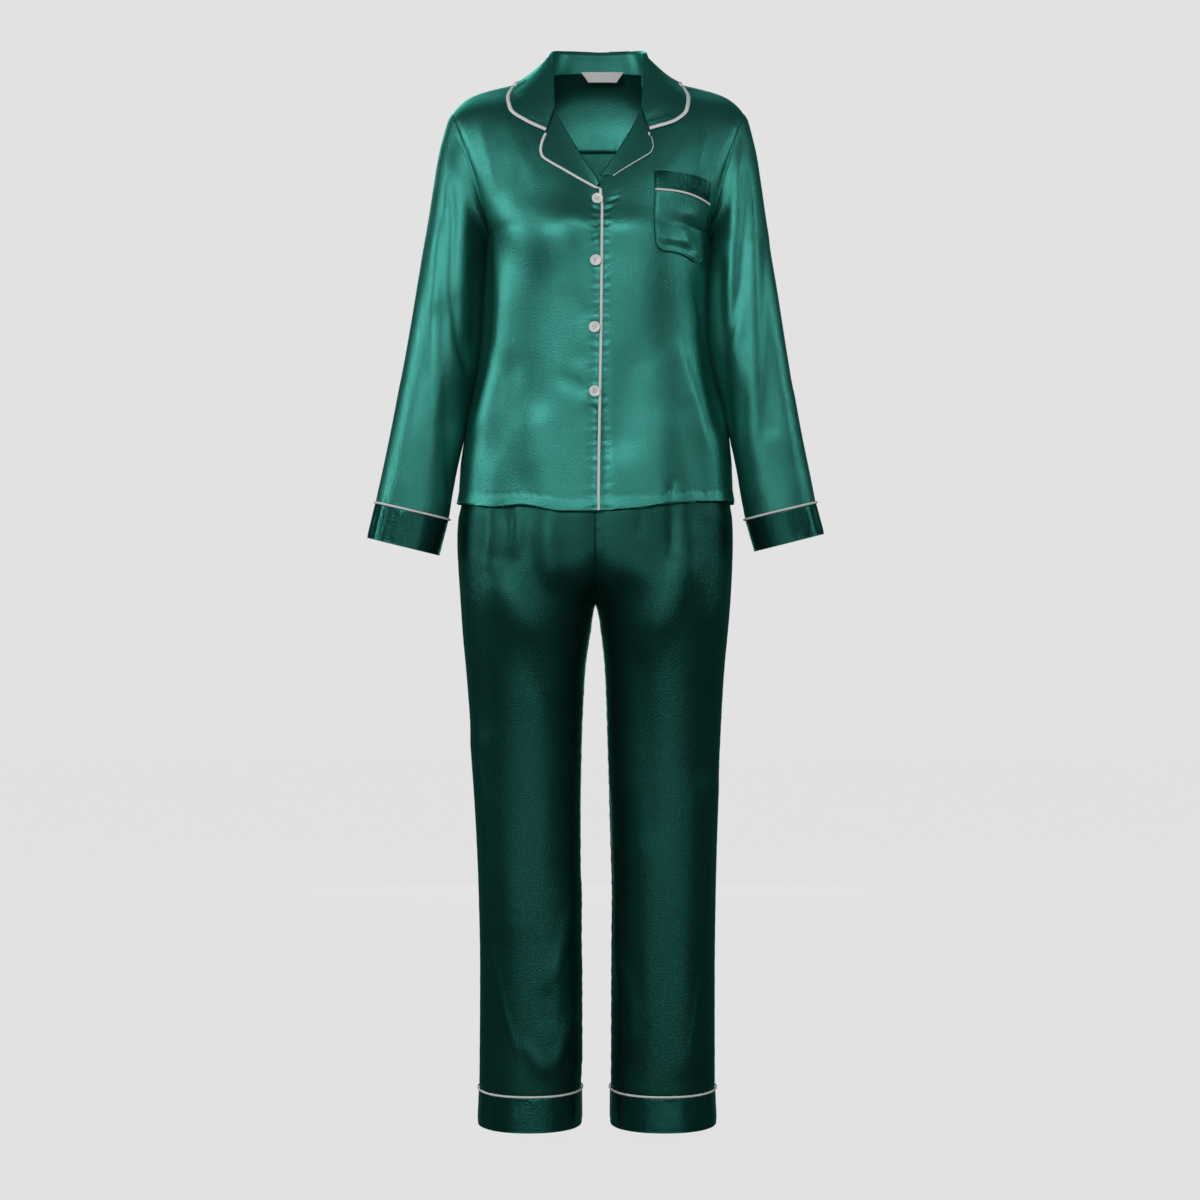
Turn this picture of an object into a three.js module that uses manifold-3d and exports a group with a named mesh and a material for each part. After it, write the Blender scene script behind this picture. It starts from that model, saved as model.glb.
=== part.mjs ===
// A pyjama set in its worn form: a notched-collar shirt over long straight trousers.
// Millimetres, +Z up. The front faces -Y and the wearer's right is -X.
// The origin is at the base of the neck, midway between the shoulders.
import * as THREE from "three";
import { mergeVertices } from "three/addons/utils/BufferGeometryUtils.js";
import Module from "manifold-3d";

const wasm = await Module();
wasm.setup();

// Cloth thicknesses and clearances
const CLOTH = 1.6;
const FOLDED = 2.4;
const SEAM = 0.3;
const LIFT = 0.9;

// Shirt sizes
const NECK_HALF = 72;
const NECK_BACK = 64;
const NECK_SIDE_Z = 10;
const NECK_BACK_Z = 28;
const SHOULDER_HALF = 199;
const SHOULDER_Z = -41;
const ARMHOLE_FRONT = 57;
const ARMHOLE_BACK = 64;
const ARMHOLE_BOW = 5;
const ARMHOLE_SQUARE = 2.15;
const YOKE_ANGLE = 56;
const UNDERLAP_DEPTH = 3;
const NECK_SHARE = 0.45;
const YOKE_BULGE = 9;

// Trims
const BUTTON_RADIUS = 7.5;
const BUTTON_THICKNESS = 3;
const BUTTON_HOLE_RADIUS = 0.75;
const BUTTON_HOLE_OFFSET = 1.3;
const PIPING_THICKNESS = 2.4;
const COLLAR_PIPING = 5.2;
const EDGE_PIPING = 3.6;
const LAPEL_PIPING = 2.2;
const LAPEL_PIPING_THICKNESS = 1.7;
const BAND_PIPING = 3;

// Trouser sizes
const TROUSER_SEAM_X = -3.5;
const CROTCH_Z = -707;
const WAISTBAND_TOP = -400;
const WAISTBAND_BOTTOM = -441;
const LEG_END = -1361;
const BAND_END = -1409;
const BAND_DIP = 3;

// A row of each table is one section of the cloth, from the bottom up
function table(names, rows) {
  const columns = names.trim().split(/\s+/);
  return rows.map((row) => Object.fromEntries(columns.map((name, k) => [name, row[k]])));
}

// Front rows: where each starts at the opening, and where it ends at the side seam or armhole
const FRONT_ROWS = table("t mid_x mid_y mid_z right left side_z armhole square swell lap_right lap_left", [
  [0.00, 0, -113, -581, 190.5, 184.0, -570, 180, 2.35, 0, -1.5, 20],
  [0.10, 0, -113, -520, 187.0, 182.0, -519, 180, 2.30, 0, -1.0, 21],
  [0.20, 0, -114, -460, 177.0, 175.0, -459, 180, 2.30, 0, 0.0, 22],
  [0.30, 0, -116, -400, 163.0, 160.0, -399, 180, 2.25, 1, 1.0, 22],
  [0.40, 0, -119, -340, 156.5, 153.0, -339, 180, 2.20, 3, 2.0, 22],
  [0.50, 0, -123, -280, 153.0, 151.0, -279, 180, 2.15, 5, 2.6, 22],
  [0.60, 0, -126, -222, 148.5, 150.0, -222, 180, 2.10, 6, 3.0, 22],
  [0.65, 0, -125, -206, 147.0, 150.0, -206, 180, 2.10, 6, 3.2, 22],
  [0.72, 0, -121, -182, 147.0, 150.0, -206, 146, 2.10, 6, 3.2, 18],
  [0.79, 0, -116, -156, 147.0, 150.0, -206, 112, 2.10, 7, 1.0, 2],
  [0.86, 30, -90, -102, 147.0, 150.0, -206, 78, 2.05, 11, 0, 0],
  [0.93, 58, -62, -48, 147.0, 150.0, -206, 40, 2.00, 12, 0, 0],
  [1.00, 72, 0, 10, 147.0, 150.0, -206, 0, 2.00, 0, 0, 0],
]);
const ARMPIT = FRONT_ROWS.find((row) => row.t === 0.65);

// Back rows, from the hem to the yoke seam
const BACK_ROWS = table("t mid_y mid_z right left side_z armhole square", [
  [0.00, 123, -574, 190.5, 184.0, -570, 180, 2.35],
  [0.12, 119, -520, 187.0, 182.0, -519, 180, 2.30],
  [0.24, 112, -460, 177.0, 175.0, -459, 180, 2.30],
  [0.36, 107, -400, 163.0, 160.0, -399, 180, 2.25],
  [0.48, 104, -340, 156.5, 153.0, -339, 180, 2.20],
  [0.60, 104, -280, 153.0, 151.0, -279, 180, 2.20],
  [0.71, 106, -222, 148.5, 150.0, -222, 180, 2.20],
  [0.75, 106, -203, 147.0, 150.0, -206, 180, 2.20],
  [0.86, 104, -145, 147.0, 150.0, -206, 110, 2.20],
  [1.00, 97, -75, 147.0, 150.0, -206, 56, 2.20],
]);

// Bottom line of the shirt's front hem
const FRONT_HEM = table("x z", [
  [-190, -570], [-134, -576], [-103, -573], [-46, -582], [0, -581.5], [56, -577], [97, -571], [184, -567],
]);

// Sleeve sections: outer and inner end of each ring, its middle, and how deep it is
const SLEEVE_ROWS = table("t out_r out_l out_z in_r in_l in_z mid_y front back square lean_r lean_l", [
  [0.03, 204, 204, -48, 147.9, 150.9, -208, 2, 57.5, 64, 2.1, 0, 0],
  [0.08, 210, 209.5, -69, 149, 152, -212, 1, 58, 64, 2.1, 0, 0],
  [0.16, 217, 216.5, -100, 150.3, 153, -219, 0, 59, 63, 2.1, 0, 1],
  [0.25, 223.5, 222.5, -140, 151.6, 153.8, -228, -1, 60, 62, 2.1, 0, 4],
  [0.34, 230, 228.5, -184, 153, 154.2, -240, -3, 60, 61, 2.1, 1, 9],
  [0.43, 237, 235, -225, 155.2, 154.6, -262, -6, 58, 59, 2.1, 3, 14],
  [0.52, 245, 242.5, -275, 157.5, 155.5, -300, -10, 55, 56, 2.1, 5, 18],
  [0.61, 254, 250.5, -330, 160.5, 157.5, -345, -13, 52, 53, 2.1, 6, 18],
  [0.70, 263, 258.5, -382, 164.5, 163, -392, -15, 50, 50, 2.1, 5, 14],
  [0.78, 272, 266.5, -430, 176, 173.5, -440, -16, 48, 47, 2.1, 3, 8],
  [0.86, 281.5, 275.5, -478, 186, 183.5, -490, -17, 46, 45, 2.1, 0, 2],
  [0.93, 291.5, 285.5, -525, 192.5, 190, -540, -17, 44, 43, 2.1, 0, 0],
  [1.00, 301, 294.7, -568, 202, 199, -591, -17, 43, 42, 2.1, 0, 0],
]);
// The lower end of each cuff
const CUFF_ENDS = table("side out out_z inner in_z", [
  [-1, 312.3, -616, 214.7, -640],
  [1, 305.9, -610.6, 211.3, -634.6],
]);

// Trouser sections. Above the crotch the fork columns give the far side of the whole hip section.
const TROUSER_ROWS = table("z right left fork_r fork_l front back square", [
  [-1409, 163, 160.5, -22, 16.5, 67, 63, 2.2],
  [-1361, 161.5, 159, -22.5, 17, 66, 62, 2.2],
  [-1200, 160.5, 158.5, -22.5, 17.5, 66, 63, 2.2],
  [-1100, 162, 159.5, -23, 18, 67, 65, 2.2],
  [-1000, 165.5, 162, -23, 15.5, 69, 69, 2.2],
  [-900, 171.5, 166, -21.5, 12.5, 74, 76, 2.15],
  [-800, 179, 171.5, -17, 9, 85, 90, 2.1],
  [-740, 184.5, 177, -9, 3, 95, 103, 2.1],
  [-707, 186.5, 180, -3.5, -3.5, 101, 111, 2.1],
  [-690, 187.5, 181, 18, -25, 104, 114, 2.1],
  [-660, 189.5, 182.5, 80, -90, 107, 117, 2.15],
  [-620, 191.5, 183.5, 165, -173, 109, 118, 2.2],
  [-590, 190, 182.5, 182.5, -190, 108, 112, 2.25],
  [-575, 186.5, 180, 180, -186.5, 106, 107, 2.3],
  [-540, 181, 175.5, 175.5, -181, 105, 106, 2.3],
  [-500, 170, 165, 165, -170, 102, 102, 2.25],
  [-441, 146, 141, 141, -146, 97, 95, 2.2],
  [-400, 142, 137, 137, -142, 93, 91, 2.2],
]);

// Folds as seen from the front or back: a soft ridge (depth > 0) or trough along a line
const FOLD_COLUMNS = "x z to_x to_z width depth";
const SHIRT_FRONT_FOLDS = table(FOLD_COLUMNS, [
  [-112, -200, -60, -226, 24, 5],
  [-28, -222, -10, -246, 9, -2.6],
  [-32, -300, -12, -330, 9, -2.6],
  [-44, -408, -22, -422, 9, -2.4],
  [-120, -300, -40, -420, 34, 3],
  [-80, -470, -64, -560, 20, 3.5],
  [-140, -420, -128, -560, 18, 3],
  [60, -300, 130, -240, 26, 3.5],
  [36, -240, 90, -200, 18, -2.5],
  [70, -400, 96, -560, 26, 4],
  [128, -450, 140, -560, 14, -3],
  [98, -545, 98, -590, 6, -2.5],
]);
const SHIRT_BACK_FOLDS = table(FOLD_COLUMNS, [
  [-120, -200, -50, -250, 24, 4],
  [118, -210, 60, -262, 24, 4],
  [-90, -420, -70, -570, 24, 5],
  [-10, -400, 4, -570, 22, -4],
  [80, -430, 64, -570, 24, 5],
  [-46, -300, 20, -360, 24, -3],
]);
const SLEEVE_FRONT_FOLDS = table(FOLD_COLUMNS, [
  [-196, -90, -214, -300, 14, 3.5],
  [-196, -314, -172, -408, 16, -4],
  [-212, -470, -200, -575, 12, -4],
  [-250, -420, -262, -560, 14, 3],
  [212, -225, 216, -560, 10, 4],
  [228, -225, 232, -470, 9, -4],
  [177, -225, 180, -335, 10, 3],
  [256, -430, 272, -560, 12, 3],
]);
const SLEEVE_BACK_FOLDS = table(FOLD_COLUMNS, [
  [-205, -120, -226, -420, 14, -4],
  [-240, -330, -190, -400, 14, 3.5],
  [205, -120, 222, -420, 14, -4],
  [236, -330, 186, -396, 14, 3.5],
]);
const TROUSER_FRONT_FOLDS = table(FOLD_COLUMNS, [
  [-139, -560, -146, -650, 9, 4],
  [-108, -560, -110, -636, 8, 3.5],
  [-62, -560, -64, -676, 12, 4.5],
  [-148, -660, -58, -745, 22, 4],
  [112, -560, 112, -672, 14, 5],
  [112, -672, 60, -752, 20, 4.5],
  [97, -570, 98, -640, 6, -3.5],
  [-3, -590, -3, -700, 10, -4],
  [-162, -900, -120, -1130, 20, 3],
  [-44, -1200, -36, -1345, 16, 4],
  [-38, -1100, -66, -1330, 18, 3.5],
  [140, -960, 120, -1330, 18, 3.5],
  [28, -980, 40, -1330, 16, -3],
]);
const TROUSER_BACK_FOLDS = table(FOLD_COLUMNS, [
  [-126, -560, -130, -660, 12, 4],
  [-60, -560, -66, -650, 12, 4],
  [64, -560, 70, -650, 12, 4],
  [128, -560, 130, -660, 12, 4],
  [-150, -780, -60, -730, 20, -5],
  [150, -784, 60, -734, 20, -5],
  [-120, -960, -90, -1340, 20, 4],
  [118, -960, 90, -1340, 20, 4],
  [-60, -1080, -120, -1180, 20, -3.5],
  [56, -1100, 118, -1190, 20, -3.5],
]);

const clamp = THREE.MathUtils.clamp;
const mix = THREE.MathUtils.lerp;
const rad = THREE.MathUtils.degToRad;
const ease = (t) => t * t * (3 - 2 * t);
const spread = (count) => Array.from({ length: count + 1 }, (_, k) => k / count);
const power = (value, exponent) => Math.sign(value) * Math.abs(value) ** exponent;
const point = (x, y, z) => new THREE.Vector3(x, y, z);

// The value of a table's column at one height, on a smooth curve that never overshoots its rows
function read(rows, key, at, column) {
  let k = 0;
  while (k < rows.length - 2 && at > rows[k + 1][key]) k += 1;
  const rise = (i) => (rows[i + 1][column] - rows[i][column]) / (rows[i + 1][key] - rows[i][key]);
  const slope = (i) => {
    if (i === 0) return rise(0);
    if (i === rows.length - 1) return rise(i - 1);
    const product = rise(i - 1) * rise(i);
    return product <= 0 ? 0 : (2 * product) / (rise(i - 1) + rise(i));
  };
  const width = rows[k + 1][key] - rows[k][key];
  const u = clamp((at - rows[k][key]) / width, 0, 1);
  const fromStart = (1 + 2 * u) * (1 - u) ** 2 * rows[k][column] + u * (1 - u) ** 2 * width * slope(k);
  const fromEnd = u * u * (3 - 2 * u) * rows[k + 1][column] - u * u * (1 - u) * width * slope(k + 1);
  return fromStart + fromEnd;
}

// How far a set of folds lifts the cloth at a place seen from the front
function foldHeight(folds, x, z) {
  let height = 0;
  for (const fold of folds) {
    const along = point(fold.to_x - fold.x, 0, fold.to_z - fold.z);
    const length = along.length();
    along.divideScalar(length);
    const offset = point(x - fold.x, 0, z - fold.z);
    const run = offset.dot(along);
    const beyond = Math.max(0, -run, run - length);
    const aside = offset.addScaledVector(along, -clamp(run, 0, length)).length();
    const reach = Math.hypot(aside, beyond * 0.4) / fold.width;
    height += fold.depth * Math.exp(-reach * reach);
  }
  return height;
}

// A smooth surface: its spot and outward normal at any s, t. Folds lift it along its own normal.
function shapeOf({ place, folds, calm = () => 1, faces, middle, range, stepS = 0.002, stepT = 0.002 }) {
  const slope = (spot, s, t) => {
    const alongS = spot(s + stepS, t).sub(spot(s - stepS, t));
    const alongT = spot(s, Math.min(t + stepT, range[1])).sub(spot(s, Math.max(t - stepT, range[0])));
    return alongS.cross(alongT).normalize();
  };
  const sign = slope(place, ...middle).dot(faces) < 0 ? -1 : 1;
  const spot = (s, t) => {
    const plain = place(s, t);
    if (!folds) return plain;
    const height = foldHeight(folds(plain), plain.x, plain.z) * calm(s, t);
    return plain.addScaledVector(slope(place, s, t), sign * height);
  };
  return { spot, normal: (s, t) => slope(spot, s, t).multiplyScalar(sign) };
}

// The points and normals of a shape on a grid
function gridOf(shape, across, along, closed = false) {
  const points = along.map((t) => across.map((s) => shape.spot(s, t)));
  const normals = along.map((t) => across.map((s) => shape.normal(s, t)));
  return { points, normals, closed };
}

// Normals of a grid of points, taken from its neighbours
function gridNormals(points, faces) {
  const rows = points.length;
  const count = points[0].length;
  const normals = points.map((row, j) => row.map((_, i) => {
    const alongS = row[Math.min(i + 1, count - 1)].clone().sub(row[Math.max(i - 1, 0)]);
    const alongT = points[Math.min(j + 1, rows - 1)][i].clone().sub(points[Math.max(j - 1, 0)][i]);
    return alongS.cross(alongT).normalize();
  }));
  const middle = normals[Math.floor(rows * 0.6)][Math.floor(count / 2)];
  if (middle.dot(faces) < 0) normals.forEach((row) => row.forEach((n) => n.negate()));
  return normals;
}

// A closed body from an outer and an inner grid of points
function solidBetween(outer, inner, closed) {
  const rows = outer.length;
  const count = outer[0].length;
  const positions = [...outer.flat(), ...inner.flat()].flatMap((p) => [p.x, p.y, p.z]);
  const out = (j, i) => j * count + (i % count);
  const inn = (j, i) => rows * count + out(j, i);
  const faces = [];
  const quad = (a, b, c, d) => faces.push(a, b, c, a, c, d);
  const cells = closed ? count : count - 1;
  for (let j = 0; j < rows - 1; j += 1) {
    for (let i = 0; i < cells; i += 1) {
      quad(out(j, i), out(j, i + 1), out(j + 1, i + 1), out(j + 1, i));
      quad(inn(j, i), inn(j + 1, i), inn(j + 1, i + 1), inn(j, i + 1));
    }
  }
  for (let i = 0; i < cells; i += 1) {
    quad(out(0, i), inn(0, i), inn(0, i + 1), out(0, i + 1));
    quad(out(rows - 1, i), out(rows - 1, i + 1), inn(rows - 1, i + 1), inn(rows - 1, i));
  }
  if (!closed) {
    for (let j = 0; j < rows - 1; j += 1) {
      quad(out(j, 0), out(j + 1, 0), inn(j + 1, 0), inn(j, 0));
      quad(out(j, count - 1), inn(j, count - 1), inn(j + 1, count - 1), out(j + 1, count - 1));
    }
  }
  return closedGeometry(positions, faces);
}

// A geometry whose faces point out, whichever way its rows were listed
function closedGeometry(positions, faces) {
  const corner = (k) => point().fromArray(positions, faces[k] * 3);
  let volume = 0;
  for (let k = 0; k < faces.length; k += 3) {
    volume += corner(k).dot(corner(k + 1).cross(corner(k + 2)));
  }
  if (volume < 0) faces.reverse();
  const geometry = new THREE.BufferGeometry();
  geometry.setAttribute("position", new THREE.Float32BufferAttribute(positions, 3));
  geometry.setIndex(faces);
  return geometry;
}

// A cloth wall under a grid of outer points; its thickness may change from row to row
function clothWall(shape, thickness = () => CLOTH) {
  const inner = shape.points.map((row, j) => row.map((p, i) => {
    return p.clone().addScaledVector(shape.normals[j][i], -thickness(j, i));
  }));
  return solidBetween(shape.points, inner, shape.closed);
}

// A bead of piping: each station has its centre, the cloth's normal and its sideways direction
function bead(stations, width, thickness, closed = false) {
  const sides = 6;
  const rings = stations.map(({ centre, normal, aside }) => spread(sides).slice(0, sides).map((turn) => {
    const angle = turn * 2 * Math.PI;
    return centre.clone()
      .addScaledVector(aside, (Math.cos(angle) * width) / 2)
      .addScaledVector(normal, (Math.sin(angle) * thickness) / 2);
  }));
  const positions = rings.flat().flatMap((p) => [p.x, p.y, p.z]);
  const faces = [];
  const at = (j, i) => (j % rings.length) * sides + (i % sides);
  const spans = closed ? rings.length : rings.length - 1;
  for (let j = 0; j < spans; j += 1) {
    for (let i = 0; i < sides; i += 1) {
      faces.push(at(j, i), at(j, i + 1), at(j + 1, i + 1), at(j, i), at(j + 1, i + 1), at(j + 1, i));
    }
  }
  if (!closed) {
    for (let i = 1; i < sides - 1; i += 1) {
      faces.push(at(0, 0), at(0, i + 1), at(0, i));
      faces.push(at(spans, 0), at(spans, i), at(spans, i + 1));
    }
  }
  return closedGeometry(positions, faces);
}

// The armhole: 0 degrees at the shoulder, 180 at the armpit, on the front or the back
function armhole(side, angle, front) {
  const inner = side < 0 ? ARMPIT.right : ARMPIT.left;
  const armpitZ = ARMPIT.side_z;
  const turn = rad(angle);
  const up = power(Math.cos(turn), 2 / ARMHOLE_SQUARE);
  const out = power(Math.sin(turn), 2 / ARMHOLE_SQUARE);
  const x = (SHOULDER_HALF + inner) / 2 + ((SHOULDER_HALF - inner) / 2) * up - ARMHOLE_BOW * out * out;
  const z = (SHOULDER_Z + armpitZ) / 2 + ((SHOULDER_Z - armpitZ) / 2) * up;
  const y = (front ? -ARMHOLE_FRONT : ARMHOLE_BACK) * out;
  return point(side * x, y, z);
}

// Shoulders slope gently and turn down at their ends
const shoulderDrop = (f) => 0.55 * f + 0.45 * f ** 8;

function rowEnd(rows, side, t, front) {
  const angle = read(rows, "t", t, "armhole");
  if (angle < 179.9) return armhole(side, angle, front);
  const width = read(rows, "t", t, side < 0 ? "right" : "left");
  const y = front ? -SEAM / 2 : SEAM / 2;
  return point(side * width, y, read(rows, "t", t, "side_z"));
}

// One point of a shirt front; s runs from the opening to the side, t from the hem to the shoulder
function frontPlace(side, s, t) {
  const get = (column) => read(FRONT_ROWS, "t", t, column);
  const end = rowEnd(FRONT_ROWS, side, t, true);
  const startX = get("mid_x");
  const startY = get("mid_y") + (side > 0 ? UNDERLAP_DEPTH * (t > 0.93 ? (1 - t) / 0.07 : 1) : 0);
  const reach = Math.abs(end.x) - startX;
  const square = get("square");
  const lap = get(side < 0 ? "lap_right" : "lap_left");
  const from = -Math.sign(lap) * Math.asin((Math.abs(lap) / reach) ** (square / 2));
  const angle = from + (Math.PI / 2 - from) * s;
  const across = power(Math.sin(angle), 2 / square);
  const f = Math.max(0, across);
  const x = side * (startX + reach * across);
  const round = power(Math.cos(angle), 2 / square);
  const y = end.y + (startY - end.y) * round - get("swell") * Math.sin(Math.PI * f) ** 2;
  const hemShare = Math.max(0, 1 - t / 0.12) ** 2;
  const rowZ = mix(get("mid_z"), end.z, shoulderDrop(f));
  return point(x, y, mix(rowZ, read(FRONT_HEM, "x", x, "z"), hemShare));
}

function backPlace(s, t) {
  const side = s < 0 ? -1 : 1;
  const get = (column) => read(BACK_ROWS, "t", t, column);
  const end = rowEnd(BACK_ROWS, side, t, false);
  const angle = (Math.abs(s) * Math.PI) / 2;
  const across = power(Math.sin(angle), 2 / get("square"));
  const y = end.y + (get("mid_y") - end.y) * power(Math.cos(angle), 2 / get("square"));
  return point(end.x * across, y, mix(get("mid_z"), end.z, across * across));
}

// The yoke lies between the back's top edge, the armholes, the shoulder seams and the neckline
function yokeTop(s) {
  const side = s < 0 ? -1 : 1;
  const share = Math.abs(s);
  if (share > NECK_SHARE) {
    const f = (share - NECK_SHARE) / (1 - NECK_SHARE);
    const x = mix(NECK_HALF, SHOULDER_HALF, f);
    return point(side * x, 0, mix(NECK_SIDE_Z, SHOULDER_Z, shoulderDrop(f)));
  }
  const turn = (share / NECK_SHARE) * (Math.PI / 2);
  const round = Math.cos(turn) ** 0.85;
  const z = mix(NECK_SIDE_Z, NECK_BACK_Z, round);
  return point(side * NECK_HALF * Math.sin(turn) ** 0.85, NECK_BACK * round, z);
}

function yokePlace(s, t) {
  const bottom = (at) => backPlace(at, 1);
  const edge = (side) => armhole(side, YOKE_ANGLE * (1 - t), false);
  const share = (s + 1) / 2;
  const rows = bottom(s).lerp(yokeTop(s), t);
  const sides = edge(-1).lerp(edge(1), share);
  const low = bottom(-1).lerp(bottom(1), share);
  const high = yokeTop(-1).lerp(yokeTop(1), share);
  const patch = rows.add(sides).sub(low.lerp(high, t));
  const bulge = Math.sin(Math.PI * t) * YOKE_BULGE * (1 - s * s);
  return patch.add(point(0, bulge + SEAM * t, bulge * 0.6 + SEAM * 1.6 * (1 - t)));
}

// Materials, one colour family each
const SATIN = new THREE.Color(0x2f7b6f);
const SATIN_DARK = new THREE.Color(0x1a5148);
const TRIM = new THREE.Color(0xe4e6e6);
const LABEL = new THREE.Color(0xd2d1d0);
const SHELL = new THREE.Color(0xe3e4e2);

const set = new THREE.Group();

function add(name, geometry, colour, roughness = 0.35) {
  const material = new THREE.MeshStandardMaterial({ color: colour, roughness, metalness: 0 });
  const mesh = new THREE.Mesh(geometry, material);
  mesh.name = name;
  set.add(mesh);
}

const FORWARD = point(0, -1, 0);
const BACKWARD = point(0, 1, 0);
const OUTWARD = { "-1": point(-1, 0, 0), 1: point(1, 0, 0) };
const nameOf = (side) => (side < 0 ? "right" : "left");

// Shirt fronts and back, with turned hems
const HEM_T = 0.026;
const FRONT_ALONG = [0, HEM_T, HEM_T + 0.003, 0.07, 0.12, 0.18, 0.25, 0.32, 0.39, 0.46, 0.53, 0.59, 0.65,
  0.69, 0.73, 0.765, 0.79, 0.825, 0.86, 0.895, 0.93, 0.965, 1];
const BACK_HEM_T = 0.031;
const BACK_ALONG = [0, BACK_HEM_T, BACK_HEM_T + 0.004, 0.1, 0.2, 0.3, 0.4, 0.5, 0.6, 0.68, 0.75, 0.81, 0.87,
  0.94, 1];
const HALF_BACK = [0.13, 0.26, 0.36, 0.45, 0.58, 0.72, 0.86, 1];
const YOKE_ALONG = [0, 0.2, 0.4, 0.6, 0.76, 0.89, 1];
const BACK_ACROSS = [...HALF_BACK.map((s) => -s).reverse(), 0, ...HALF_BACK];

const fronts = Object.fromEntries([-1, 1].map((side) => [side, shapeOf({
  place: (s, t) => frontPlace(side, s, t),
  folds: () => SHIRT_FRONT_FOLDS,
  faces: FORWARD,
  middle: [0.3, 0.5],
  range: [0, 1],
})]));
const back = shapeOf({
  place: backPlace, folds: () => SHIRT_BACK_FOLDS, faces: BACKWARD, middle: [0.05, 0.5], range: [0, 1],
});
const yoke = shapeOf({ place: yokePlace, faces: BACKWARD, middle: [0.05, 0.5], range: [0, 1] });

const hemmed = (j) => (j < 2 ? FOLDED : CLOTH);

// At the shoulder seam both pieces turn their edges straight down
function mitreShoulder(grid) {
  grid.normals[grid.normals.length - 1].forEach((normal, i) => {
    if (Math.abs(grid.points[grid.points.length - 1][i].x) < NECK_HALF - 1) return;
    normal.setY(0).normalize();
  });
  return grid;
}

function shirtBody() {
  for (const side of [-1, 1]) {
    const grid = mitreShoulder(gridOf(fronts[side], spread(12), FRONT_ALONG));
    add(`shirt_front_${nameOf(side)}`, clothWall(grid, hemmed), SATIN);
  }
  add("shirt_back", clothWall(gridOf(back, BACK_ACROSS, BACK_ALONG), hemmed), SATIN);
  add("shirt_yoke", clothWall(mitreShoulder(gridOf(yoke, BACK_ACROSS, YOKE_ALONG))), SATIN);
}

// Sleeves: the first ring is the armhole, then rings between an outer and an inner line
const FIRST_RING = SLEEVE_ROWS[0].t;

function sleeveRing(side, angle, t) {
  const front = angle <= 180;
  const get = (column) => read(SLEEVE_ROWS, "t", t, column);
  const outer = point(side * get(side < 0 ? "out_r" : "out_l"), get("mid_y"), get("out_z"));
  const inner = point(side * get(side < 0 ? "in_r" : "in_l"), get("mid_y"), get("in_z"));
  const up = power(Math.cos(rad(angle)), 2 / get("square"));
  const out = power(Math.abs(Math.sin(rad(angle))), 2 / get("square"));
  const spot = outer.clone().add(inner).multiplyScalar(0.5).addScaledVector(outer.sub(inner), up / 2);
  spot.y += out * (front ? -get("front") : get("back"));
  const bow = ARMHOLE_BOW * out * out * Math.max(0, 1 - t / 0.3);
  const lean = front ? get(side < 0 ? "lean_r" : "lean_l") * out * (0.5 - up / 2) * 1.6 : 0;
  spot.x -= side * (bow + lean);
  return spot;
}

function sleevePlace(side, turn, t) {
  const angle = ((turn * 360) % 360 + 360) % 360;
  if (t >= FIRST_RING) return sleeveRing(side, angle, t);
  const front = angle <= 180;
  const rim = armhole(side, front ? angle : 360 - angle, front).add(point(side * SEAM * 2, 0, 0));
  return rim.lerp(sleeveRing(side, angle, FIRST_RING), t / FIRST_RING);
}

const SLEEVE_ALONG = [0, 0.03, 0.08, 0.16, 0.25, 0.34, 0.43, 0.5, 0.57, 0.64, 0.7, 0.76, 0.82, 0.88, 0.94, 1];
const SLEEVE_TURNS = 16;
const ringOf = (count) => spread(count).slice(0, count);
const sleeveCalm = (turn, t) => ease(clamp((t - 0.05) / 0.1, 0, 1)) * ease(clamp((1 - t) / 0.06, 0, 1));

function sleeve(side) {
  const shape = shapeOf({
    place: (turn, t) => sleevePlace(side, turn, t),
    folds: (p) => (p.y < 0 ? SLEEVE_FRONT_FOLDS : SLEEVE_BACK_FOLDS),
    calm: sleeveCalm,
    faces: OUTWARD[side],
    middle: [0, 0.5],
    range: [0, 1],
  });
  add(`sleeve_${nameOf(side)}`, clothWall(gridOf(shape, ringOf(SLEEVE_TURNS), SLEEVE_ALONG, true)), SATIN);
}

// A straight band that goes on from the last ring of a sleeve
function cuffPlace(side, turn, t) {
  const angle = turn * 2 * Math.PI;
  const top = SLEEVE_ROWS[SLEEVE_ROWS.length - 1];
  const bottom = CUFF_ENDS.find((end) => end.side === side);
  const outerX = mix(side < 0 ? top.out_r : top.out_l, bottom.out, t);
  const innerX = mix(side < 0 ? top.in_r : top.in_l, bottom.inner, t);
  const outer = point(side * outerX, top.mid_y, mix(top.out_z, bottom.out_z, t));
  const inner = point(side * innerX, top.mid_y, mix(top.in_z, bottom.in_z, t));
  const up = power(Math.cos(angle), 2 / top.square);
  const spot = outer.clone().add(inner).multiplyScalar(0.5).addScaledVector(outer.sub(inner), up / 2);
  const out = power(Math.abs(Math.sin(angle)), 2 / top.square);
  spot.y += out * (Math.sin(angle) > 0 ? -top.front : top.back);
  return spot;
}

// Piping round a tube's seam, standing on its outside
function pipingRound(name, shape, turns, at, step) {
  const stations = ringOf(turns).map((turn) => {
    const aside = shape.spot(turn, at + step).sub(shape.spot(turn, at - step)).normalize();
    const normal = shape.normal(turn, at);
    const centre = shape.spot(turn, at).addScaledVector(normal, PIPING_THICKNESS / 2 + SEAM * 2);
    return { centre, normal, aside };
  });
  add(name, bead(stations, BAND_PIPING, PIPING_THICKNESS, true), TRIM, 0.6);
}

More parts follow.
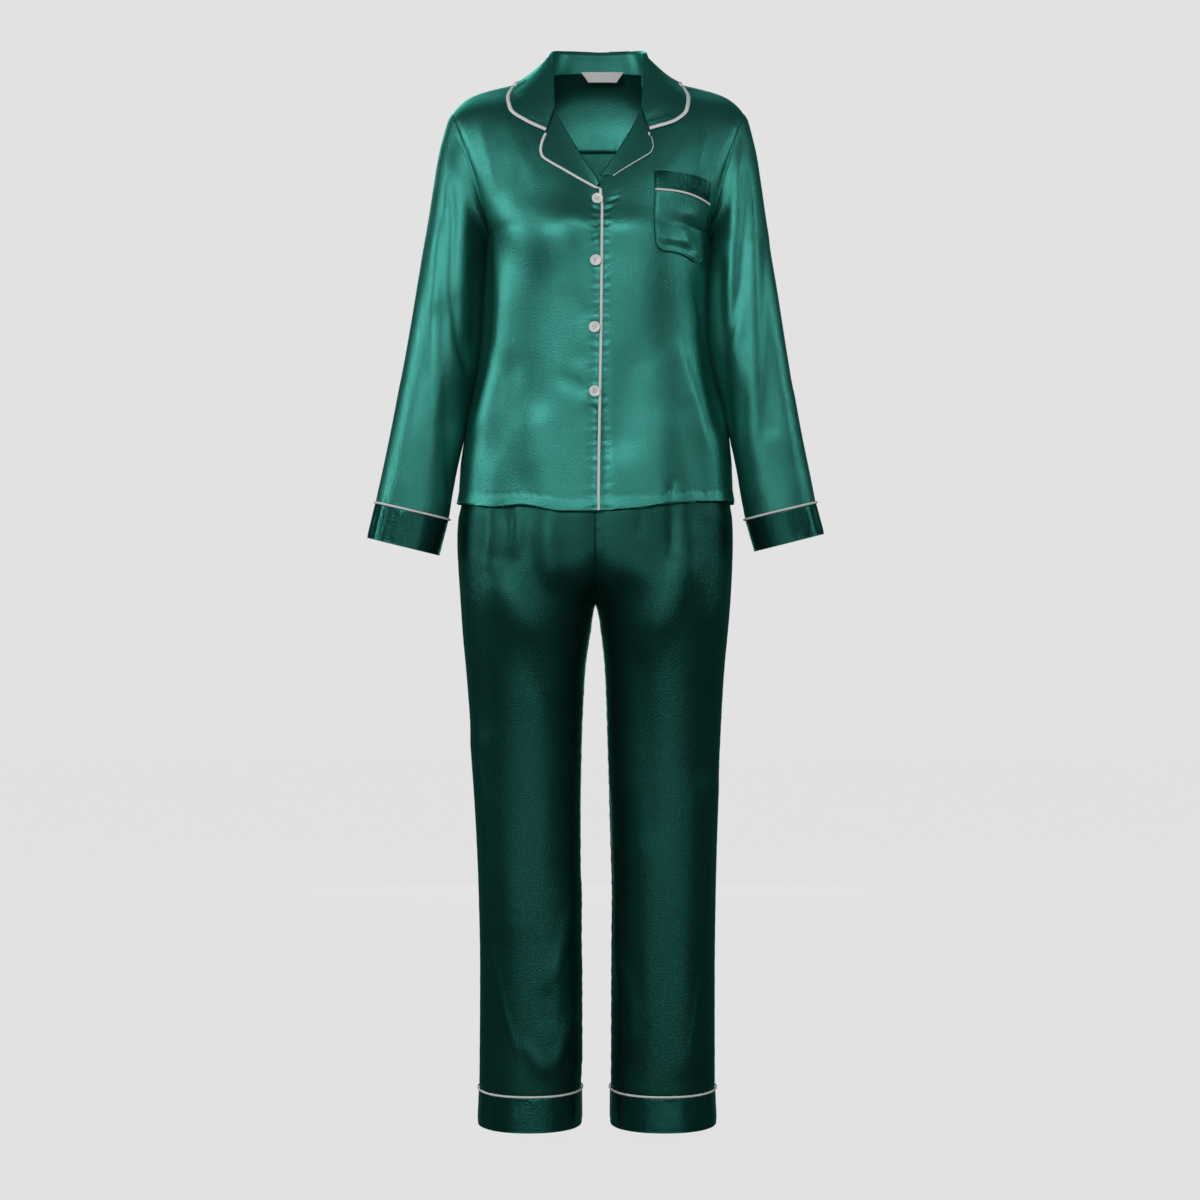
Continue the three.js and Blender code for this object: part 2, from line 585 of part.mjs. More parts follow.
function cuff(side) {
  const shape = shapeOf({
    place: (turn, t) => cuffPlace(side, turn, t), faces: OUTWARD[side], middle: [0, 0.5], range: [-0.1, 1],
  });
  const start = SEAM / 50;
  const grid = gridOf(shape, ringOf(SLEEVE_TURNS), [start, 0.5, 1], true);
  add(`cuff_${nameOf(side)}`, clothWall(grid, () => FOLDED), SATIN_DARK);
  pipingRound(`piping_cuff_${nameOf(side)}`, shape, SLEEVE_TURNS, start / 2, 0.02);
}

// Collar sections from the centre back (k = 0) to the front end (k = 1). The neck and edge columns
// are places on the yoke; the front columns are the edge seen from the front, and the neckline row.
const COLLAR_ROWS = table("k neck_s edge_s edge_t neck_t edge_r edge_rz edge_l edge_lz lean back rise", [
  [0.00, 0.00, 0.00, 0.60, 1.000, 109, 1, 109, 1, 0, 4, 26],
  [0.25, 0.18, 0.25, 0.61, 1.000, 109, 1, 109, 1, 3.5, 2, 28],
  [0.45, 0.33, 0.43, 0.66, 1.000, 109, 1, 109, 1, 8, 0, 30],
  [0.55, 0.41, 0.55, 0.82, 1.000, 109, 1, 109, 1, 9.5, -1, 30],
  [0.62, 0.45, 0.61, 1.00, 1.000, 109, 1, 109, 1, 10.5, -1, 29],
  [0.72, 0.45, 0.61, 1.00, 0.986, 118, -24, 118.5, -25, 8, -2, 25],
  [0.82, 0.45, 0.61, 1.00, 0.966, 114, -46, 116, -46, 5.5, -2, 18],
  [0.92, 0.45, 0.61, 1.00, 0.946, 94, -62, 102, -61, 2.5, -2, 9],
  [1.00, 0.45, 0.61, 1.00, 0.932, 68.5, -74, 68.5, -71.5, 0.5, -2, 2.5],
]);
const SHOULDER_K = 0.62;
const COLLAR_LIFT = CLOTH + 2.1;
const FALL_STEPS = [0.12, 0.3, 0.5, 0.7, 0.86, 1];

// The place on a shirt front that is seen at x, z from the front, found by a few straight steps
function onFront(side, x, z) {
  let s = 0.35;
  let t = 0.75;
  const step = 0.002;
  for (let round = 0; round < 16; round += 1) {
    const here = frontPlace(side, s, t);
    const bySide = frontPlace(side, s + step, t).sub(here).divideScalar(step);
    const byRow = frontPlace(side, s, t + step).sub(here).divideScalar(step);
    const missX = x - here.x;
    const missZ = z - here.z;
    const scale = bySide.x * byRow.z - bySide.z * byRow.x;
    s = clamp(s + clamp((missX * byRow.z - missZ * byRow.x) / scale, -0.2, 0.2), 0.001, 0.99);
    t = clamp(t + clamp((bySide.x * missZ - bySide.z * missX) / scale, -0.1, 0.1), 0.01, 0.99);
  }
  return { s, t };
}

// One section of the collar: up the stand, over the roll and down the fall
function collarSection(k) {
  const side = k < 0 ? -1 : 1;
  const at = Math.abs(k);
  const get = (column) => read(COLLAR_ROWS, "k", at, column);
  const behind = at <= SHOULDER_K;
  const shape = behind ? yoke : fronts[side];
  const neck = behind ? { s: side * get("neck_s"), t: 1 } : { s: 0, t: get("neck_t") };
  const seen = side < 0 ? ["edge_r", "edge_rz"] : ["edge_l", "edge_lz"];
  const edge = behind
    ? { s: side * get("edge_s"), t: get("edge_t") }
    : onFront(side, side * get(seen[0]), get(seen[1]));
  const normal = shape.normal(neck.s, neck.t);
  const root = shape.spot(neck.s, neck.t);
  const beside = behind ? shape.spot(neck.s, neck.t - 0.01) : shape.spot(neck.s + 0.01, neck.t);
  const inward = root.clone().sub(beside).normalize();
  const rise = point(-side * get("lean"), get("back"), get("rise"));
  const fall = (q) => {
    const s = mix(neck.s, edge.s, q);
    const t = mix(neck.t, edge.t, q);
    const lift = mix(COLLAR_LIFT + 1.4, COLLAR_LIFT, q);
    return shape.spot(s, t).addScaledVector(shape.normal(s, t), lift).addScaledVector(rise, (1 - q) ** 1.5);
  };
  const foot = root.clone().addScaledVector(inward, CLOTH + SEAM * 2).addScaledVector(normal, -CLOTH * 0.7);
  const roll = root.clone().add(rise).addScaledVector(inward, 0.5);
  const top = roll.clone().lerp(fall(0), 0.5).addScaledVector(rise.clone().normalize(), 1.6);
  const stand = [foot, foot.clone().lerp(roll, 0.5), foot.clone().lerp(roll, 0.88), roll, top, fall(0)];
  return [...stand, ...FALL_STEPS.map(fall)];
}

function collar() {
  const half = [0.12, 0.25, 0.36, 0.47, 0.55, 0.59, 0.62, 0.65, 0.69, 0.74, 0.8, 0.87, 0.94, 1];
  const stations = [...half.map((k) => -k).reverse(), 0, ...half];
  const sections = stations.map(collarSection);
  const points = sections[0].map((_, j) => sections.map((section) => section[j]));
  const normals = gridNormals(points, BACKWARD);
  add("collar", clothWall({ points, normals, closed: false }), SATIN);
  edgePiping("piping_collar", points, normals, COLLAR_PIPING);
}

// Piping along the last row of a grid, just outside its edge
function edgeStations(points, normals, width) {
  const last = points.length - 1;
  const count = points[last].length;
  const sideways = (i) => {
    const along = points[last][Math.min(i + 1, count - 1)].clone().sub(points[last][Math.max(i - 1, 0)]);
    return along.cross(normals[last][i]).normalize();
  };
  const middle = Math.floor(count * 0.4);
  const outward = points[last][middle].clone().sub(points[last - 1][middle]);
  const sign = Math.sign(sideways(middle).dot(outward));
  return points[last].map((p, i) => {
    const normal = normals[last][i];
    const aside = sideways(i).multiplyScalar(sign);
    const centre = p.clone().addScaledVector(aside, width / 2 + SEAM * 2);
    centre.addScaledVector(normal, -CLOTH * 0.4);
    return { centre, normal, aside };
  });
}

function edgePiping(name, points, normals, width) {
  add(name, bead(edgeStations(points, normals, width), width, PIPING_THICKNESS), TRIM, 0.6);
}

// Lapel sections from the notch (v = 0) down to the top button: neckline row and edge place
const LAPEL_ROWS = table("v roll_t edge_r edge_rz edge_l edge_lz", [
  [0.00, 0.926, 68, -82, 68, -80.5],
  [0.18, 0.910, 72.5, -95, 72, -90],
  [0.32, 0.896, 74, -105, 73, -99],
  [0.42, 0.886, 72, -113, 70, -107],
  [0.50, 0.876, 64.5, -119, 60, -114],
  [0.66, 0.855, 45, -130.5, 43, -124.5],
  [0.83, 0.828, 23, -143.5, 26, -135.5],
  [1.00, 0.797, 2.5, -155, 11, -147],
]);
const LAPEL_STEPS = [0.12, 0.3, 0.55, 0.8, 1];
const LEFT_LAPEL_END = 0.9;

function lapelSection(side, v) {
  const get = (column) => read(LAPEL_ROWS, "v", v, column);
  const shape = fronts[side];
  const rollT = get("roll_t");
  const seen = side < 0 ? ["edge_r", "edge_rz"] : ["edge_l", "edge_lz"];
  const edge = onFront(side, side * get(seen[0]), get(seen[1]));
  const root = shape.spot(0, rollT);
  const normal = shape.normal(0, rollT);
  const inward = root.clone().sub(shape.spot(0.01, rollT)).normalize();
  const away = (out, up, facing) => ({
    spot: root.clone().addScaledVector(inward, out).addScaledVector(normal, up),
    normal: inward.clone().lerp(normal, facing).normalize(),
  });
  const lie = (u) => {
    const s = mix(0, edge.s, u);
    const t = mix(rollT, edge.t, u);
    const lift = LIFT + CLOTH + 1.6 * (1 - u) ** 2;
    const facing = shape.normal(s, t);
    return { spot: shape.spot(s, t).addScaledVector(facing, lift), normal: facing };
  };
  const wrap = [away(CLOTH + 1.2, -CLOTH * 0.7, 0), away(CLOTH + 1.4, 1.4, 0.25), away(1, 4, 0.75)];
  return [...wrap, ...LAPEL_STEPS.map(lie)];
}

function lapel(side) {
  const stations = spread(14).map((v) => v * (side > 0 ? LEFT_LAPEL_END : 1));
  const sections = stations.map((v) => lapelSection(side, v));
  const points = sections[0].map((_, j) => sections.map((section) => section[j].spot));
  const normals = sections[0].map((_, j) => sections.map((section) => section[j].normal));
  add(`lapel_${nameOf(side)}`, clothWall({ points, normals, closed: false }), SATIN);
  return edgeStations(points, normals, side < 0 ? EDGE_PIPING : LAPEL_PIPING);
}

// The right lapel's piping runs on down the front edge to the hem
function frontPiping(lapelStations) {
  const shape = fronts[-1];
  const settled = -0.9;
  const rows = [0.75, 0.72, 0.68, 0.63, 0.57, 0.5, 0.43, 0.36, 0.28, 0.2, 0.12, 0.05, 0];
  const down = table("t lift", [[0.785, 1.6], [0.77, 0.2], ...rows.map((t) => [t, settled])]);
  const stations = down.map(({ t, lift }) => {
    const normal = shape.normal(0, t);
    const aside = point(1, 0, 0).addScaledVector(normal, -normal.x).normalize();
    const centre = shape.spot(0, t).addScaledVector(aside, EDGE_PIPING / 2 + SEAM * 1.5);
    centre.addScaledVector(normal, lift);
    return { centre, normal, aside: aside.negate() };
  });
  const run = [...lapelStations, ...stations];
  add("piping_front", bead(run, EDGE_PIPING, PIPING_THICKNESS), TRIM, 0.6);
}

// Pocket outline as seen from the front, from its bottom up to the top of its band
const POCKET_ROWS = table("v x z to_x to_z", [
  [0.00, 83, -241, 125, -250],
  [0.05, 78, -237.5, 131, -249],
  [0.12, 74, -229, 135, -243],
  [0.45, 72.5, -195, 140, -207],
  [0.78, 75, -159.5, 145.5, -172],
  [1.00, 74.7, -134, 149, -144],
]);
const BAND_V = 0.78;

function pocketPiece(name, along, lift, colour) {
  const rows = along.map((v) => spread(8).map((u) => {
    const get = (column) => read(POCKET_ROWS, "v", v, column);
    const z = mix(get("z"), get("to_z"), u ** 3);
    const { s, t } = onFront(1, mix(get("x"), get("to_x"), u), z);
    return { s, t };
  }));
  const normals = rows.map((row) => row.map(({ s, t }) => fronts[1].normal(s, t)));
  const points = rows.map((row, j) => row.map(({ s, t }, i) => {
    return fronts[1].spot(s, t).addScaledVector(normals[j][i], lift);
  }));
  if (name) add(name, clothWall({ points, normals, closed: false }), colour);
  return { points, normals };
}

function pocket() {
  const gap = 0.004;
  pocketPiece("pocket", [0, 0.05, 0.12, 0.28, 0.45, 0.62, BAND_V - gap], LIFT + CLOTH, SATIN);
  pocketPiece("pocket_band", [BAND_V + gap, 0.89, 1], LIFT + CLOTH, SATIN_DARK);
  const seam = pocketPiece("", [BAND_V - 0.01, BAND_V, BAND_V + 0.01], LIFT + CLOTH, TRIM);
  const stations = seam.points[1].map((p, i) => {
    const normal = seam.normals[1][i];
    const centre = p.clone().addScaledVector(normal, PIPING_THICKNESS / 2 + SEAM * 2);
    return { centre, normal, aside: seam.points[2][i].clone().sub(seam.points[0][i]).normalize() };
  });
  add("piping_pocket", bead(stations, BAND_PIPING, PIPING_THICKNESS), TRIM, 0.6);
}

// A blank label inside the back neck, wider at its top
function neckLabel() {
  const label = { middle: 6, top: 59, bottom: 39, from: 0.885, to: 0.985, thickness: 0.8 };
  const across = (x, t) => {
    let low = -NECK_SHARE;
    let high = NECK_SHARE;
    for (let round = 0; round < 30; round += 1) {
      const s = (low + high) / 2;
      if (yoke.spot(s, t).x < x) low = s;
      else high = s;
    }
    return low;
  };
  const along = spread(2).map((v) => mix(label.from, label.to, v));
  const rows = along.map((t, j) => spread(6).map((u) => {
    const width = mix(label.bottom, label.top, j / 2);
    return { s: across(label.middle + width * (u - 0.5), t), t };
  }));
  const normals = rows.map((row) => row.map(({ s, t }) => yoke.normal(s, t)));
  const points = rows.map((row, j) => row.map(({ s, t }, i) => {
    return yoke.spot(s, t).addScaledVector(normals[j][i], -CLOTH - 1.9);
  }));
  add("neck_label", clothWall({ points, normals, closed: false }, () => label.thickness), LABEL, 0.7);
}

// Four-hole buttons down the right front's edge
const BUTTONS = table("x z", [[-0.6, -172], [-2.7, -254], [-4.4, -341], [-4, -425]]);

function solidOf(geometry) {
  const bare = geometry.clone();
  bare.deleteAttribute("normal");
  bare.deleteAttribute("uv");
  const merged = mergeVertices(bare, 1e-4);
  const vertProperties = new Float32Array(merged.attributes.position.array);
  const triVerts = new Uint32Array(merged.index.array);
  return new wasm.Manifold(new wasm.Mesh({ numProp: 3, vertProperties, triVerts }));
}

function buttonBlank() {
  const r = BUTTON_RADIUS;
  const h = BUTTON_THICKNESS;
  const rim = [[0, 0], [r - 1, 0], [r, 0.9], [r - 0.4, h - 0.3], [r - 1.2, h]];
  const profile = [...rim, [r - 2.4, h - 0.9], [0, h - 1.1]];
  const body = new THREE.LatheGeometry(profile.map(([x, y]) => new THREE.Vector2(x, y)), 18);
  let solid = solidOf(body.rotateX(Math.PI));
  for (const [across, up] of [[-1, -1], [1, -1], [-1, 1], [1, 1]]) {
    const hole = new THREE.CylinderGeometry(BUTTON_HOLE_RADIUS, BUTTON_HOLE_RADIUS, h * 3, 6);
    hole.translate(across * BUTTON_HOLE_OFFSET, 0, up * BUTTON_HOLE_OFFSET);
    solid = solid.subtract(solidOf(hole));
  }
  const mesh = solid.getMesh();
  const geometry = new THREE.BufferGeometry();
  geometry.setAttribute("position", new THREE.BufferAttribute(new Float32Array(mesh.vertProperties), 3));
  geometry.setIndex(new THREE.BufferAttribute(new Uint32Array(mesh.triVerts), 1));
  return geometry;
}

function buttons() {
  const blank = buttonBlank();
  BUTTONS.forEach(({ x, z }, k) => {
    const { s, t } = onFront(-1, x, z);
    const normal = fronts[-1].normal(s, t);
    const geometry = blank.clone();
    const turn = new THREE.Quaternion().setFromUnitVectors(FORWARD, normal);
    const seat = fronts[-1].spot(s, t).addScaledVector(normal, LIFT);
    geometry.applyQuaternion(turn).translate(seat.x, seat.y, seat.z);
    add(`button_${k + 1}`, geometry, SHELL, 0.25);
  });
}

// Trousers. s runs from the side seam, over the front or back, to the inner edge.
function legPlace(side, front, s, z) {
  const get = (column) => read(TROUSER_ROWS, "z", z, column);
  const outer = side * get(side < 0 ? "right" : "left");
  const fork = get(side < 0 ? "fork_r" : "fork_l");
  const middle = (outer + fork) / 2;
  const half = Math.abs(fork - outer) / 2;
  const square = get("square");
  const seamX = TROUSER_SEAM_X + (side * SEAM) / 2;
  const seamShare = clamp((-side * (seamX - middle)) / half, -1, 1);
  const cut = Math.sign(seamShare) * Math.asin(Math.abs(seamShare) ** (square / 2));
  const angle = mix(-Math.PI / 2, z < CROTCH_Z ? Math.PI / 2 : cut, s);
  const x = middle - side * half * power(Math.sin(angle), 2 / square);
  const depth = front ? -get("front") : get("back");
  const round = power(Math.cos(angle), 2 / square);
  const dip = front ? BAND_DIP * round * ease(clamp((LEG_END + 60 - z) / 60, 0, 1)) : 0;
  return point(x, (front ? -SEAM : SEAM) / 2 + depth * round, z - dip);
}

const TROUSER_ALONG = [-1361, -1310, -1240, -1160, -1080, -1000, -930, -870, -810, -765, -735, -715, -707.01,
  -695, -680, -660, -635, -605, -575, -540, -500, -441];
const PANEL_STEPS = 9;
const LEG_TURNS = PANEL_STEPS * 2;
const WAIST_TURNS = 36;
const legCalm = (s, z) => ease(clamp((z - LEG_END) / 50, 0, 1)) * ease(clamp((-548 - z) / 25, 0, 1));

function trouserPanel(side, front) {
  const shape = shapeOf({
    place: (s, z) => legPlace(side, front, s, z),
    folds: () => (front ? TROUSER_FRONT_FOLDS : TROUSER_BACK_FOLDS),
    calm: legCalm,
    faces: front ? FORWARD : BACKWARD,
    middle: [0.5, -1000],
    range: [LEG_END, WAISTBAND_BOTTOM],
    stepT: 1,
  });
  const grid = gridOf(shape, spread(PANEL_STEPS), TROUSER_ALONG);
  add(`trouser_${front ? "front" : "back"}_${nameOf(side)}`, clothWall(grid), SATIN_DARK);
}

// A whole ring round one leg
function legRing(side, turn, z) {
  const whole = ((turn % 1) + 1) % 1;
  const front = whole <= 0.5;
  const spot = legPlace(side, front, front ? whole * 2 : 2 - whole * 2, z);
  spot.y += front ? SEAM / 2 : -SEAM / 2;
  return spot;
}

function legBand(side) {
  const shape = shapeOf({
    place: (turn, z) => legRing(side, turn, z),
    faces: OUTWARD[side],
    middle: [0, -1380],
    range: [BAND_END, LEG_END + 10],
    stepT: 1,
  });
  const along = [BAND_END, (BAND_END + LEG_END) / 2, LEG_END - SEAM];
  const grid = gridOf(shape, ringOf(LEG_TURNS), along, true);
  add(`leg_band_${nameOf(side)}`, clothWall(grid, () => FOLDED), SATIN_DARK);
  pipingRound(`piping_leg_${nameOf(side)}`, shape, LEG_TURNS, LEG_END, 2);
}

// The elastic casing at the waist, under the shirt
function waistband() {
  const place = (turn, z) => {
    const angle = turn * 2 * Math.PI;
    const get = (column) => read(TROUSER_ROWS, "z", z, column);
    const middle = (get("left") - get("right")) / 2;
    const half = (get("left") + get("right")) / 2;
    const share = 2 / get("square");
    const out = power(Math.sin(angle), share);
    return point(middle + half * power(Math.cos(angle), share), -out * get(out > 0 ? "front" : "back"), z);
  };
  const range = [WAISTBAND_BOTTOM - 4, WAISTBAND_TOP];
  const shape = shapeOf({ place, faces: OUTWARD[1], middle: [0, -420], range, stepT: 1 });
  const along = [WAISTBAND_BOTTOM + SEAM, (WAISTBAND_TOP + WAISTBAND_BOTTOM) / 2, WAISTBAND_TOP];
  add("waistband", clothWall(gridOf(shape, ringOf(WAIST_TURNS), along, true), () => FOLDED), SATIN_DARK);
}

shirtBody();
collar();
frontPiping(lapel(-1));
add("piping_lapel_left", bead(lapel(1), LAPEL_PIPING, LAPEL_PIPING_THICKNESS), TRIM, 0.6);
pocket();
neckLabel();
buttons();
for (const side of [-1, 1]) {
  sleeve(side);
  cuff(side);
  trouserPanel(side, true);
  trouserPanel(side, false);
  legBand(side);
}
waistband();

export default set;
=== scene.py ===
# A pyjama set in its worn form: a satin shirt with a notched collar and piping, over long trousers.
# Shapes are worked out in millimetres and made in metres. +Z is up, the front faces -Y,
# the wearer's right is -X, and the origin is at the base of the neck.
import math

import bmesh
import bpy
import numpy as np
from mathutils import Matrix, Vector


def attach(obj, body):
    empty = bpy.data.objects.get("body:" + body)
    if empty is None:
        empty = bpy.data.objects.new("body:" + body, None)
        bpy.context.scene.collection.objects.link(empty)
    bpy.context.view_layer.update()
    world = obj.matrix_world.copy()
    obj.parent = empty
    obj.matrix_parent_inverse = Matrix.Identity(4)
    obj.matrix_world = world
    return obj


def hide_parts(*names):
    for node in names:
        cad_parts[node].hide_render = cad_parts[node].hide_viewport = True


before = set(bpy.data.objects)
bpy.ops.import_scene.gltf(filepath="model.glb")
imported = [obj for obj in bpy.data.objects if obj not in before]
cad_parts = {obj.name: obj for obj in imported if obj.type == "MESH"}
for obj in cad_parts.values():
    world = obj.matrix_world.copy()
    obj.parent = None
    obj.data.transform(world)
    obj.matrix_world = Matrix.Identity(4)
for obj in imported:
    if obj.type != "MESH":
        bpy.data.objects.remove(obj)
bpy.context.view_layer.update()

# Cloth thicknesses and clearances, in millimetres
MM = 0.001
CLOTH = 1.6
SATIN = 0.9
BAND_CLOTH = 1.5
SEAM = 0.3
LIFT = 0.9

# Shirt sizes
NECK_HALF = 72
NECK_BACK = 64
NECK_SIDE_Z = 10
NECK_BACK_Z = 28
NECK_SHARE = 0.45
SHOULDER_HALF = 199
SHOULDER_Z = -41
ARMHOLE_FRONT = 57
ARMHOLE_BACK = 64
ARMHOLE_BOW = 5
ARMHOLE_SQUARE = 2.15
YOKE_ANGLE = 56
YOKE_BULGE = 9
UNDERLAP = 22
UNDERLAP_DEPTH = 3
HEM_DEPTH = 16

# Trims
PIPING_THICKNESS = 2.4
COLLAR_PIPING = 5.2
EDGE_PIPING = 3.6
LAPEL_PIPING = 2.2
BAND_PIPING = 3

# Trouser sizes
TROUSER_SEAM_X = -3.5
CROTCH_Z = -707
WAISTBAND_TOP = -400
WAISTBAND_BOTTOM = -441
LEG_END = -1361
BAND_END = -1409
BAND_DIP = 3

RIGHT = -1
LEFT = 1


# A row of each table is one section of the cloth
def table(columns, rows):
    return {name: np.array([row[k] for row in rows], float) for k, name in enumerate(columns.split())}


FRONT_ROWS = table("t mid_x mid_y mid_z right left side_z armhole square swell lap_right lap_left", [
    [0.00, 0, -113, -581, 190.5, 184.0, -570, 180, 2.35, 0, -1.5, 20],
    [0.10, 0, -113, -520, 187.0, 182.0, -519, 180, 2.30, 0, -1.0, 21],
    [0.20, 0, -114, -460, 177.0, 175.0, -459, 180, 2.30, 0, 0.0, 22],
    [0.30, 0, -116, -400, 163.0, 160.0, -399, 180, 2.25, 1, 1.0, 22],
    [0.40, 0, -119, -340, 156.5, 153.0, -339, 180, 2.20, 3, 2.0, 22],
    [0.50, 0, -124.5, -280, 153.0, 151.0, -279, 180, 2.15, 5, 2.6, 22],
    [0.60, 0, -128, -222, 148.5, 150.0, -222, 180, 2.10, 6, 3.0, 22],
    [0.65, 0, -126.5, -206, 147.0, 150.0, -206, 180, 2.10, 6, 3.2, 22],
    [0.72, 0, -119.5, -182, 147.0, 150.0, -206, 146, 2.10, 6, 3.2, 18],
    [0.79, 0, -111.5, -156, 147.0, 150.0, -206, 112, 2.10, 7, 1.0, 2],
    [0.86, 30, -90, -102, 147.0, 150.0, -206, 78, 2.05, 11, 0, 0],
    [0.93, 58, -62, -48, 147.0, 150.0, -206, 40, 2.00, 12, 0, 0],
    [1.00, 72, 0, 10, 147.0, 150.0, -206, 0, 2.00, 0, 0, 0],
])
BACK_ROWS = table("t mid_y mid_z right left side_z armhole square", [
    [0.00, 123, -574, 190.5, 184.0, -570, 180, 2.35],
    [0.12, 119, -520, 187.0, 182.0, -519, 180, 2.30],
    [0.24, 112, -460, 177.0, 175.0, -459, 180, 2.30],
    [0.36, 107, -400, 163.0, 160.0, -399, 180, 2.25],
    [0.48, 104, -340, 156.5, 153.0, -339, 180, 2.20],
    [0.60, 104, -280, 153.0, 151.0, -279, 180, 2.20],
    [0.71, 106, -222, 148.5, 150.0, -222, 180, 2.20],
    [0.75, 106, -203, 147.0, 150.0, -206, 180, 2.20],
    [0.86, 104, -145, 147.0, 150.0, -206, 110, 2.20],
    [1.00, 97, -75, 147.0, 150.0, -206, 56, 2.20],
])
FRONT_HEM = table("x z", [
    [-190, -570], [-134, -576], [-103, -573], [-46, -582], [0, -581.5], [56, -577], [97, -571], [184, -567],
])
SLEEVE_ROWS = table("t out_r out_l out_z in_r in_l in_z mid_y front back square lean_r lean_l", [
    [0.03, 204, 204, -48, 147.9, 150.9, -208, 2, 57.5, 64, 2.1, 0, 0],
    [0.08, 210, 209.5, -69, 149, 152, -212, 1, 58, 64, 2.1, 0, 0],
    [0.16, 217, 216.5, -100, 150.3, 153, -219, 0, 59, 63, 2.1, 0, 1],
    [0.25, 223.5, 222.5, -140, 151.6, 153.8, -228, -1, 60, 62, 2.1, 0, 4],
    [0.34, 230, 228.5, -184, 153, 154.2, -240, -3, 60, 61, 2.1, 1, 9],
    [0.43, 237, 235, -225, 155.2, 154.6, -262, -6, 58, 59, 2.1, 3, 14],
    [0.52, 245, 242.5, -275, 157.5, 155.5, -300, -10, 55, 56, 2.1, 5, 18],
    [0.61, 254, 250.5, -330, 160.5, 157.5, -345, -13, 52, 53, 2.1, 6, 18],
    [0.70, 263, 258.5, -382, 164.5, 163, -392, -15, 50, 50, 2.1, 5, 14],
    [0.78, 272, 266.5, -430, 176, 173.5, -440, -16, 48, 47, 2.1, 3, 8],
    [0.86, 281.5, 275.5, -478, 186, 183.5, -490, -17, 46, 45, 2.1, 0, 2],
    [0.93, 291.5, 285.5, -525, 192.5, 190, -540, -17, 44, 43, 2.1, 0, 0],
    [1.00, 301, 294.7, -568, 202, 199, -591, -17, 43, 42, 2.1, 0, 0],
])
CUFF_ENDS = table("side out out_z inner in_z", [
    [-1, 312.3, -616, 214.7, -640],
    [1, 305.9, -610.6, 211.3, -634.6],
])
TROUSER_ROWS = table("z right left fork_r fork_l front back square", [
    [-1409, 163, 160.5, -22, 16.5, 67, 63, 2.2],
    [-1361, 161.5, 159, -22.5, 17, 66, 62, 2.2],
    [-1200, 160.5, 158.5, -22.5, 17.5, 66, 63, 2.2],
    [-1100, 162, 159.5, -23, 18, 67, 65, 2.2],
    [-1000, 165.5, 162, -23, 15.5, 69, 69, 2.2],
    [-900, 171.5, 166, -21.5, 12.5, 74, 76, 2.15],
    [-800, 179, 171.5, -17, 9, 85, 90, 2.1],
    [-740, 184.5, 177, -9, 3, 95, 103, 2.1],
    [-707, 186.5, 180, -3.5, -3.5, 101, 111, 2.1],
    [-690, 187.5, 181, 18, -25, 104, 114, 2.1],
    [-660, 189.5, 182.5, 80, -90, 107, 117, 2.15],
    [-620, 191.5, 183.5, 165, -173, 109, 118, 2.2],
    [-590, 190, 182.5, 182.5, -190, 108, 112, 2.25],
    [-575, 186.5, 180, 180, -186.5, 106, 107, 2.3],
    [-540, 181, 175.5, 175.5, -181, 105, 106, 2.3],
    [-500, 170, 165, 165, -170, 102, 102, 2.25],
    [-441, 146, 141, 141, -146, 97, 95, 2.2],
    [-400, 142, 137, 137, -142, 93, 91, 2.2],
])
COLLAR_ROWS = table("k neck_s edge_s edge_t neck_t edge_r edge_rz edge_l edge_lz lean back rise", [
    [0.00, 0.00, 0.00, 0.60, 1.000, 109, 1, 109, 1, 0, 4, 26],
    [0.25, 0.18, 0.25, 0.61, 1.000, 109, 1, 109, 1, 3.5, 2, 28],
    [0.45, 0.33, 0.43, 0.66, 1.000, 109, 1, 109, 1, 8, 0, 30],
    [0.55, 0.41, 0.55, 0.82, 1.000, 109, 1, 109, 1, 9.5, -1, 30],
    [0.62, 0.45, 0.61, 1.00, 1.000, 109, 1, 109, 1, 10.5, -1, 29],
    [0.72, 0.45, 0.61, 1.00, 0.986, 118, -24, 118.5, -25, 8, -2, 25],
    [0.82, 0.45, 0.61, 1.00, 0.966, 114, -46, 116, -46, 5.5, -2, 18],
    [0.92, 0.45, 0.61, 1.00, 0.946, 94, -62, 102, -61, 2.5, -2, 9],
    [1.00, 0.45, 0.61, 1.00, 0.932, 68.5, -74, 68.5, -71.5, 0.5, -2, 2.5],
])
LAPEL_ROWS = table("v roll_t edge_r edge_rz edge_l edge_lz", [
    [0.00, 0.926, 68, -82, 68, -80.5],
    [0.18, 0.910, 72.5, -95, 72, -90],
    [0.32, 0.896, 74, -105, 73, -99],
    [0.42, 0.886, 72, -113, 70, -107],
    [0.50, 0.876, 64.5, -119, 60, -114],
    [0.66, 0.855, 45, -130.5, 43, -124.5],
    [0.83, 0.828, 23, -143.5, 26, -135.5],
    [1.00, 0.797, 2.5, -155, 11, -147],
])
POCKET_ROWS = table("v x z to_x to_z", [
    [0.00, 83, -241, 125, -250],
    [0.05, 78, -237.5, 131, -249],
    [0.12, 74, -229, 135, -243],
    [0.45, 72.5, -195, 140, -207],
    [0.78, 75, -159.5, 145.5, -172],
    [1.00, 74.7, -134, 149, -144],
])
BUTTON_PLACES = [(-0.6, -172), (-2.7, -254), (-4.4, -341), (-4, -425)]
SHOULDER_K = 0.62
COLLAR_LIFT = CLOTH + 2.1
BAND_V = 0.78
LEFT_LAPEL_END = 0.9
ARMPIT = 7
NAMES = {RIGHT: "right", LEFT: "left"}

